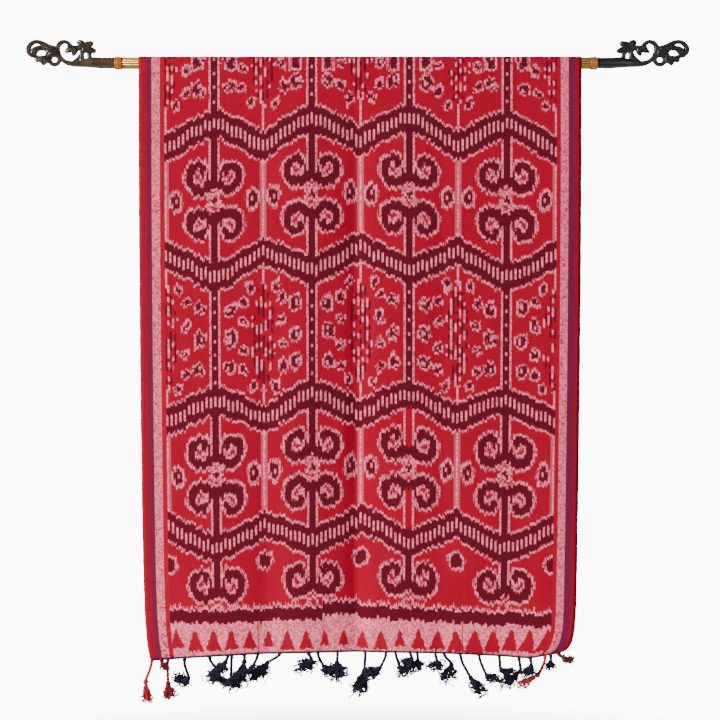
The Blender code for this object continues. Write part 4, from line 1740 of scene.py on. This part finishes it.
# each carved stroke: how full it is, then its points, as the place out from the collar, the
# height and the radius in millimetres
STROKES = {
    "shaft": (0.86, [
        (0.4, 0.4, 10.5), (26.6, 0.4, 10.5), (45.6, 1.5, 10.1), (59.2, 0.2, 8.2),
        (70.1, -1.3, 6.4), (82.4, -1.1, 5.7), (92.6, 0.3, 5.0), (100.7, 3.8, 4.5),
        (106.6, 10.0, 3.8), (110.4, 17.4, 3.6), (112.8, 24.9, 4.2), (114.0, 31.7, 5.0),
        (111.2, 38.1, 4.9), (105.8, 41.9, 4.4), (99.4, 42.7, 4.0), (93.0, 39.7, 4.1),
        (88.9, 34.8, 4.2),
    ]),
    "inner_leaf": (1.15, [
        (89.5, 35.5, 4.4), (89.8, 29.9, 5.2), (94.3, 25.2, 4.1), (100.7, 22.2, 1.6),
    ]),
    "leaf_tip": (1.15, [
        (86.4, 31.2, 4.6), (81.3, 25.6, 5.2), (82.1, 19.5, 3.7), (84.4, 14.7, 1.5),
    ]),
    "bridge": (1.0, [
        (89.8, 32.4, 4.5), (81.0, 30.5, 4.2), (72.8, 30.8, 4.9), (65.0, 33.1, 6.0),
        (61.0, 34.5, 4.8),
    ]),
    "flower_stem": (1.0, [
        (65.2, 32.5, 5.4), (65.4, 24.2, 4.6), (65.8, 16.1, 4.1), (65.4, 5.0, 4.6),
    ]),
    "stem_brace": (1.0, [
        (66.0, 21.5, 3.2), (69.4, 14.0, 3.3), (74.2, 7.4, 4.0), (82.4, 1.0, 3.6),
    ]),
    "upper_petal": (1.4, [
        (65.0, 33.5, 4.8), (69.0, 39.9, 4.5), (74.2, 43.0, 2.7),
    ]),
    "middle_petal": (1.25, [
        (64.0, 33.8, 5.0), (53.8, 37.2, 4.6), (46.7, 39.2, 3.8), (43.6, 39.4, 2.2),
    ]),
    "lower_petal": (1.3, [
        (63.5, 27.6, 4.6), (51.1, 27.0, 4.1), (42.9, 24.9, 3.5), (38.0, 23.8, 2.3),
    ]),
    "flower_foot": (1.1, [
        (55.8, 24.0, 3.0), (51.4, 18.5, 3.6), (50.3, 8.0, 3.5),
    ]),
    "large_loop": (1.0, [
        (113.0, 27.0, 3.6), (121.8, 29.4, 4.6), (131.3, 33.1, 3.9), (140.8, 38.2, 3.7),
        (150.4, 41.9, 3.7), (159.9, 42.5, 3.7), (167.6, 38.2, 4.1), (172.7, 30.8, 4.4),
        (172.1, 22.6, 4.4), (167.4, 16.9, 4.1), (160.6, 14.2, 3.7), (153.1, 11.3, 3.5),
    ]),
    "loop_leaf": (1.3, [
        (121.8, 26.2, 4.8), (132.7, 27.4, 4.6), (142.9, 30.5, 3.5), (153.1, 29.4, 3.7),
        (160.8, 24.6, 4.6), (162.5, 17.4, 3.8),
    ]),
    "loop_bud": (1.15, [
        (117.0, 21.5, 5.0), (121.8, 21.5, 5.8), (130.0, 21.0, 5.8), (134.7, 15.8, 4.1),
        (137.4, 9.5, 3.6),
    ]),
    "lower_flower": (1.15, [
        (157.6, 4.9, 3.3), (150.4, 8.2, 4.6), (142.2, 7.6, 5.7), (134.0, 6.3, 5.2),
        (127.9, 4.1, 3.3),
    ]),
    "lower_flower_petal": (1.4, [
        (141.9, 5.2, 4.4), (143.0, -0.2, 3.5), (143.6, -3.4, 1.9),
    ]),
}


@dataclass
class Finial:
    """A finial carved from horn: a round shaft and openwork scrolls, leaves and petals."""

    name: str
    root: float
    outward: float
    depth_swell: float = 1.35
    swell_start: float = 0.050
    swell_full: float = 0.075
    ring_centre: Pair = (0.1205, 0.0066)
    ring_radius: float = 0.0094
    ring_tube: float = 0.0036
    ring_steps: int = 38
    flat_end_radius: float = 0.009
    round_end_reach: float = 0.6
    stroke_steps: int = 6
    sides: int = 16
    fullness: float = 1.22
    voxel: float = 0.00080
    groove_depth: float = 0.22
    groove_width: float = 0.42

    def lines(self) -> list[list[Vector]]:
        """The middle lines of the strokes and of the ring.

        Returns:
            Each line's points, as (out, up, radius).
        """
        lines = []
        for fullness, beads in STROKES.values():
            sizes = [(out, up, radius * fullness) for out, up, radius in beads]
            knots = [Vector([size / MILLIMETRES for size in bead]) for bead in sizes]
            lines.append(smooth_line(knots, self.stroke_steps))
        out, up = self.ring_centre
        ring = []
        for step in range(self.ring_steps + 2):
            angle = math.tau * step / self.ring_steps
            place = (out + self.ring_radius * math.cos(angle), up + self.ring_radius * math.sin(angle))
            ring.append(Vector((*place, self.ring_tube)))
        return [*lines, ring]

    def swell(self, out: float) -> float:
        """How much deeper than wide a stroke is: the horn is round, the openwork is deeper."""
        span = self.swell_full - self.swell_start
        return mix(1.0, self.depth_swell, ease((out - self.swell_start) / span))

    def tube(self, shape: bmesh.types.BMesh, line: list[Vector]) -> None:
        """Adds one stroke as a closed tube with rounded ends.

        Args:
            shape: The shape that takes it.
            line: The stroke's middle line.
        """
        rings = []
        for number, point in enumerate(line):
            before = line[max(number - 1, 0)]
            after = line[min(number + 1, len(line) - 1)]
            way = Vector((after.x - before.x, 0, after.y - before.y)).normalized()
            side = Vector((-way.z, 0, way.x))
            middle = Vector((point.x, 0, point.y))
            ring = []
            for step in range(self.sides):
                angle = math.tau * step / self.sides
                reach = side * math.cos(angle) + Vector((0, math.sin(angle) * self.swell(point.x), 0))
                ring.append(shape.verts.new(middle + reach * point.z * self.fullness))
            rings.append(ring)
        skin_rings(shape, rings)
        for ring, end, before in ((rings[0], line[0], line[1]), (rings[-1], line[-1], line[-2])):
            way = Vector((end.x - before.x, 0, end.y - before.y)).normalized()
            reach = 0.0 if end.z > self.flat_end_radius else self.round_end_reach
            tip = shape.verts.new(Vector((end.x, 0, end.y)) + way * end.z * reach)
            for step in range(self.sides):
                shape.faces.new((ring[step], ring[(step + 1) % self.sides], tip))

    def build(self, material: bpy.types.Material) -> Piece:
        """The finial as one fused mesh with a carved channel along each stroke.

        Args:
            material: The horn's material.

        Returns:
            The piece, with its shaded_channel value on its points, which marks where the material
            paints shade.
        """
        shape = bmesh.new()
        lines = self.lines()
        for line in lines:
            self.tube(shape, line)
        piece = piece_from(self.name, mesh_from(shape, self.name))
        remesh = piece.modifiers.new("fuse", "REMESH")
        remesh.mode = "VOXEL"
        remesh.voxel_size = self.voxel
        soften = piece.modifiers.new("soften", "SMOOTH")
        soften.factor = 0.5
        soften.iterations = 2
        mesh = applied(piece)
        self.carve(mesh, lines)
        mesh.shade_smooth()
        mesh.materials.clear()
        mesh.materials.append(material)
        return piece

    def carve(self, mesh: bpy.types.Mesh, lines: list[list[Vector]]) -> None:
        """Sinks a channel along the strokes' fronts and backs, stores where it lies for the material's
        painted shade, and moves the mesh to its place.

        Args:
            mesh: The fused mesh, still as (out, depth, up).
            lines: The strokes' middle lines.
        """
        marks = [point for line in lines for point in line]
        tree = kdtree.KDTree(len(marks))
        for number, point in enumerate(marks):
            tree.insert((point.x, 0, point.y), number)
        tree.balance()
        shaded_channel = []
        for vertex in mesh.vertices:
            place = vertex.co
            _, number, gap = tree.find((place.x, 0, place.z))
            radius = marks[number].z
            carved = ease((place.x - self.swell_start) / (self.swell_full - self.swell_start))
            side = gap / max(radius * self.groove_width, 0.0001)
            channel = math.exp(-side * side) * carved
            place.y *= 1 - self.groove_depth * channel
            shaded_channel.append(channel)
            vertex.co = (self.root + self.outward * place.x, place.y, place.z)
        # the channel's mask, which the horn's material darkens as painted shade
        mesh.attributes.new("shaded_channel", "FLOAT", "POINT").data.foreach_set("value", shaded_channel)
        if self.outward < 0:
            mesh.flip_normals()


# The studio


@dataclass(frozen=True)
class Studio:
    """A pale floor, a pale surround, soft light and the camera of the photograph."""

    metres_per_pixel: float = 0.002
    rod_row: float = 63.2
    distance: float = 4.2
    floor_level: float = -1.50
    floor_radius: float = 1.5
    surround_shown: float = 11.0
    surround_lit: float = 0.22

    def camera(self) -> None:
        """A level camera straight in front of the cloth."""
        data = bpy.data.cameras.new("camera")
        view = PHOTO_SIDE * self.metres_per_pixel
        data.sensor_width = 36.0
        data.lens = data.sensor_width * self.distance / view
        camera = piece_from("camera", data)
        height = (self.rod_row - PHOTO_SIDE / 2) * self.metres_per_pixel
        camera.location = (0.0, -self.distance, height)
        camera.rotation_euler = (math.pi / 2, 0.0, 0.0)
        bpy.context.scene.camera = camera

    def light(self, name: str, place: Vector, size: float, power: float, colour: Colour) -> None:
        """A square soft light that faces the cloth's middle.

        Args:
            name: The light's name.
            place: Where it stands.
            size: The length of its side.
            power: Its power in watts.
            colour: Its colour.
        """
        data = bpy.data.lights.new(name, "AREA")
        data.size = size
        data.energy = power
        data.color = colour
        lamp = piece_from(name, data)
        lamp.location = place
        lamp.rotation_euler = (Vector((0, 0, -0.6)) - place).to_track_quat("-Z", "Y").to_euler()

    def surround(self) -> None:
        """A pale world."""
        world = bpy.data.worlds.new("studio")
        world.use_nodes = True
        background = world.node_tree.nodes["Background"]
        background.inputs["Color"].default_value = (0.97, 0.98, 1.0, 1.0)
        seen = add_node(world.node_tree, "ShaderNodeLightPath", output="Is Camera Ray")
        strength = seen * (self.surround_shown - self.surround_lit) + self.surround_lit
        connect(world.node_tree, strength, background.inputs["Strength"])
        bpy.context.scene.world = world

    def floor(self) -> Piece:
        """A round pale floor under the cloth.

        Returns:
            The floor.
        """
        shape = bmesh.new()
        bmesh.ops.create_circle(shape, cap_ends=True, segments=96, radius=self.floor_radius)
        for vertex in shape.verts:
            vertex.co.z = self.floor_level
        mesh = bpy.data.meshes.new("floor")
        shape.to_mesh(mesh)
        shape.free()
        surface = Surface("studio_floor")
        x, y, _ = surface.place()
        patches = (x / 400.0).cloud(y / 400.0, 111, detail=2.0)
        from_middle = distance(x, y) / (self.floor_radius * MILLIMETRES)
        faded = (from_middle - 0.55).math("MULTIPLY_ADD", -1 / 0.4, 1.0, clamp=True)
        colour = blend(surface.tree, patches * 0.3, (0.92, 0.92, 0.92), (0.88, 0.88, 0.88))
        surface.set(Base_Color=colour, Roughness=0.9, Alpha=faded)
        return piece_from("studio_floor", mesh, surface.material)

    def build(self) -> None:
        """Sets up the whole studio."""
        self.camera()
        self.surround()
        self.light("key", Vector((-7.0, -2.4, 1.0)), 2.0, 1760.0, (1.0, 0.985, 0.96))
        self.light("fill", Vector((2.2, -3.6, -0.2)), 2.4, 62.0, (0.96, 0.98, 1.0))
        self.light("back", Vector((1.2, 2.8, 0.9)), 2.0, 120.0, (1.0, 1.0, 1.0))
        self.floor()


@dataclass
class ClothHanging:
    """The whole object: the cloth with its fringes, and the rod with its collars and finials."""

    cloth: HangingCloth = field(default_factory=HangingCloth)
    rod: ReededRod = field(default_factory=ReededRod)
    right_stretch: float = 1.035

    def dress(self, piece: Piece, node: str) -> Piece:
        """Makes a piece ride on the body in a CAD node's place.

        Args:
            piece: The piece.
            node: The CAD node that it replaces.

        Returns:
            The piece.
        """
        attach(piece, "root")
        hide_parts(node)
        LOG.info("%s for %s: %d faces", piece.name, node, len(piece.data.polygons))
        return piece

    def build_cloth(self) -> None:
        """The cloth and its two fringes."""
        cotton = CottonFinish().material(IkatPattern())
        yarn = YarnFinish().material()
        cloth = self.dress(self.cloth.build(cotton), "cloth")
        for layer, node in ((Layer.FRONT, "fringe_front"), (Layer.BACK, "fringe_back")):
            fringe = Fringe(self.cloth, layer).build(yarn)
            self.dress(fringe, node)

    def build_rod(self) -> None:
        """The rod, the collars and the finials."""
        # each metal's dark colour serves both as tarnish and as painted shade in its sunken places
        gilt = MetalFinish(
            Slot.GILT, colour=(0.80, 0.44, 0.12), tarnish_and_shade=(0.14, 0.055, 0.012), metallic=1.0,
            roughness=0.24, line_length=90.0, shaded_below_radius=10.9,
        ).material()
        copper = MetalFinish(
            Slot.COPPER, colour=(0.60, 0.17, 0.025), tarnish_and_shade=(0.24, 0.05, 0.01), metallic=0.4,
            roughness=0.3, line_length=3.0, shaded_below_radius=12.6,
        ).material()
        self.dress(self.rod.build(gilt), "rod")
        half = Collar.length / 2
        left = Collar("copper_collar_left", self.rod.left_end + half)
        right = Collar("copper_collar_right", self.rod.right_end - half)
        self.dress(left.build(copper), "collar_left")
        self.dress(right.build(copper), "collar_right")
        # lit and shaded copies of one horn: the left finial is painted lighter with more amber sheen,
        # as if lit from the left, and the right one darker, as painted shade
        brown = HornFinish(
            "carved_horn_lit_copy", base=paint(13, 11, 9), grain=paint(52, 44, 37),
            amber_and_sheen=paint(112, 80, 40), amber_and_sheen_share=0.34,
        ).material()
        black = HornFinish(
            "carved_horn_shaded_copy", base=paint(11, 10, 10), grain=paint(30, 25, 22),
            amber_and_sheen=paint(48, 32, 22), amber_and_sheen_share=0.20,
        ).material()
        left_finial = Finial("carved_finial_left", self.rod.left_end, -1.0)
        right_finial = Finial("carved_finial_right", self.rod.right_end, self.right_stretch)
        self.dress(left_finial.build(brown), "finial_left")
        self.dress(right_finial.build(black), "finial_right")


def main() -> None:
    """Builds the object and its studio."""
    logging.basicConfig(level=logging.INFO, format="%(message)s")
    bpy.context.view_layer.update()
    Studio().build()
    hanging = ClothHanging()
    hanging.build_rod()
    hanging.build_cloth()


if __name__ == "__main__":
    main()
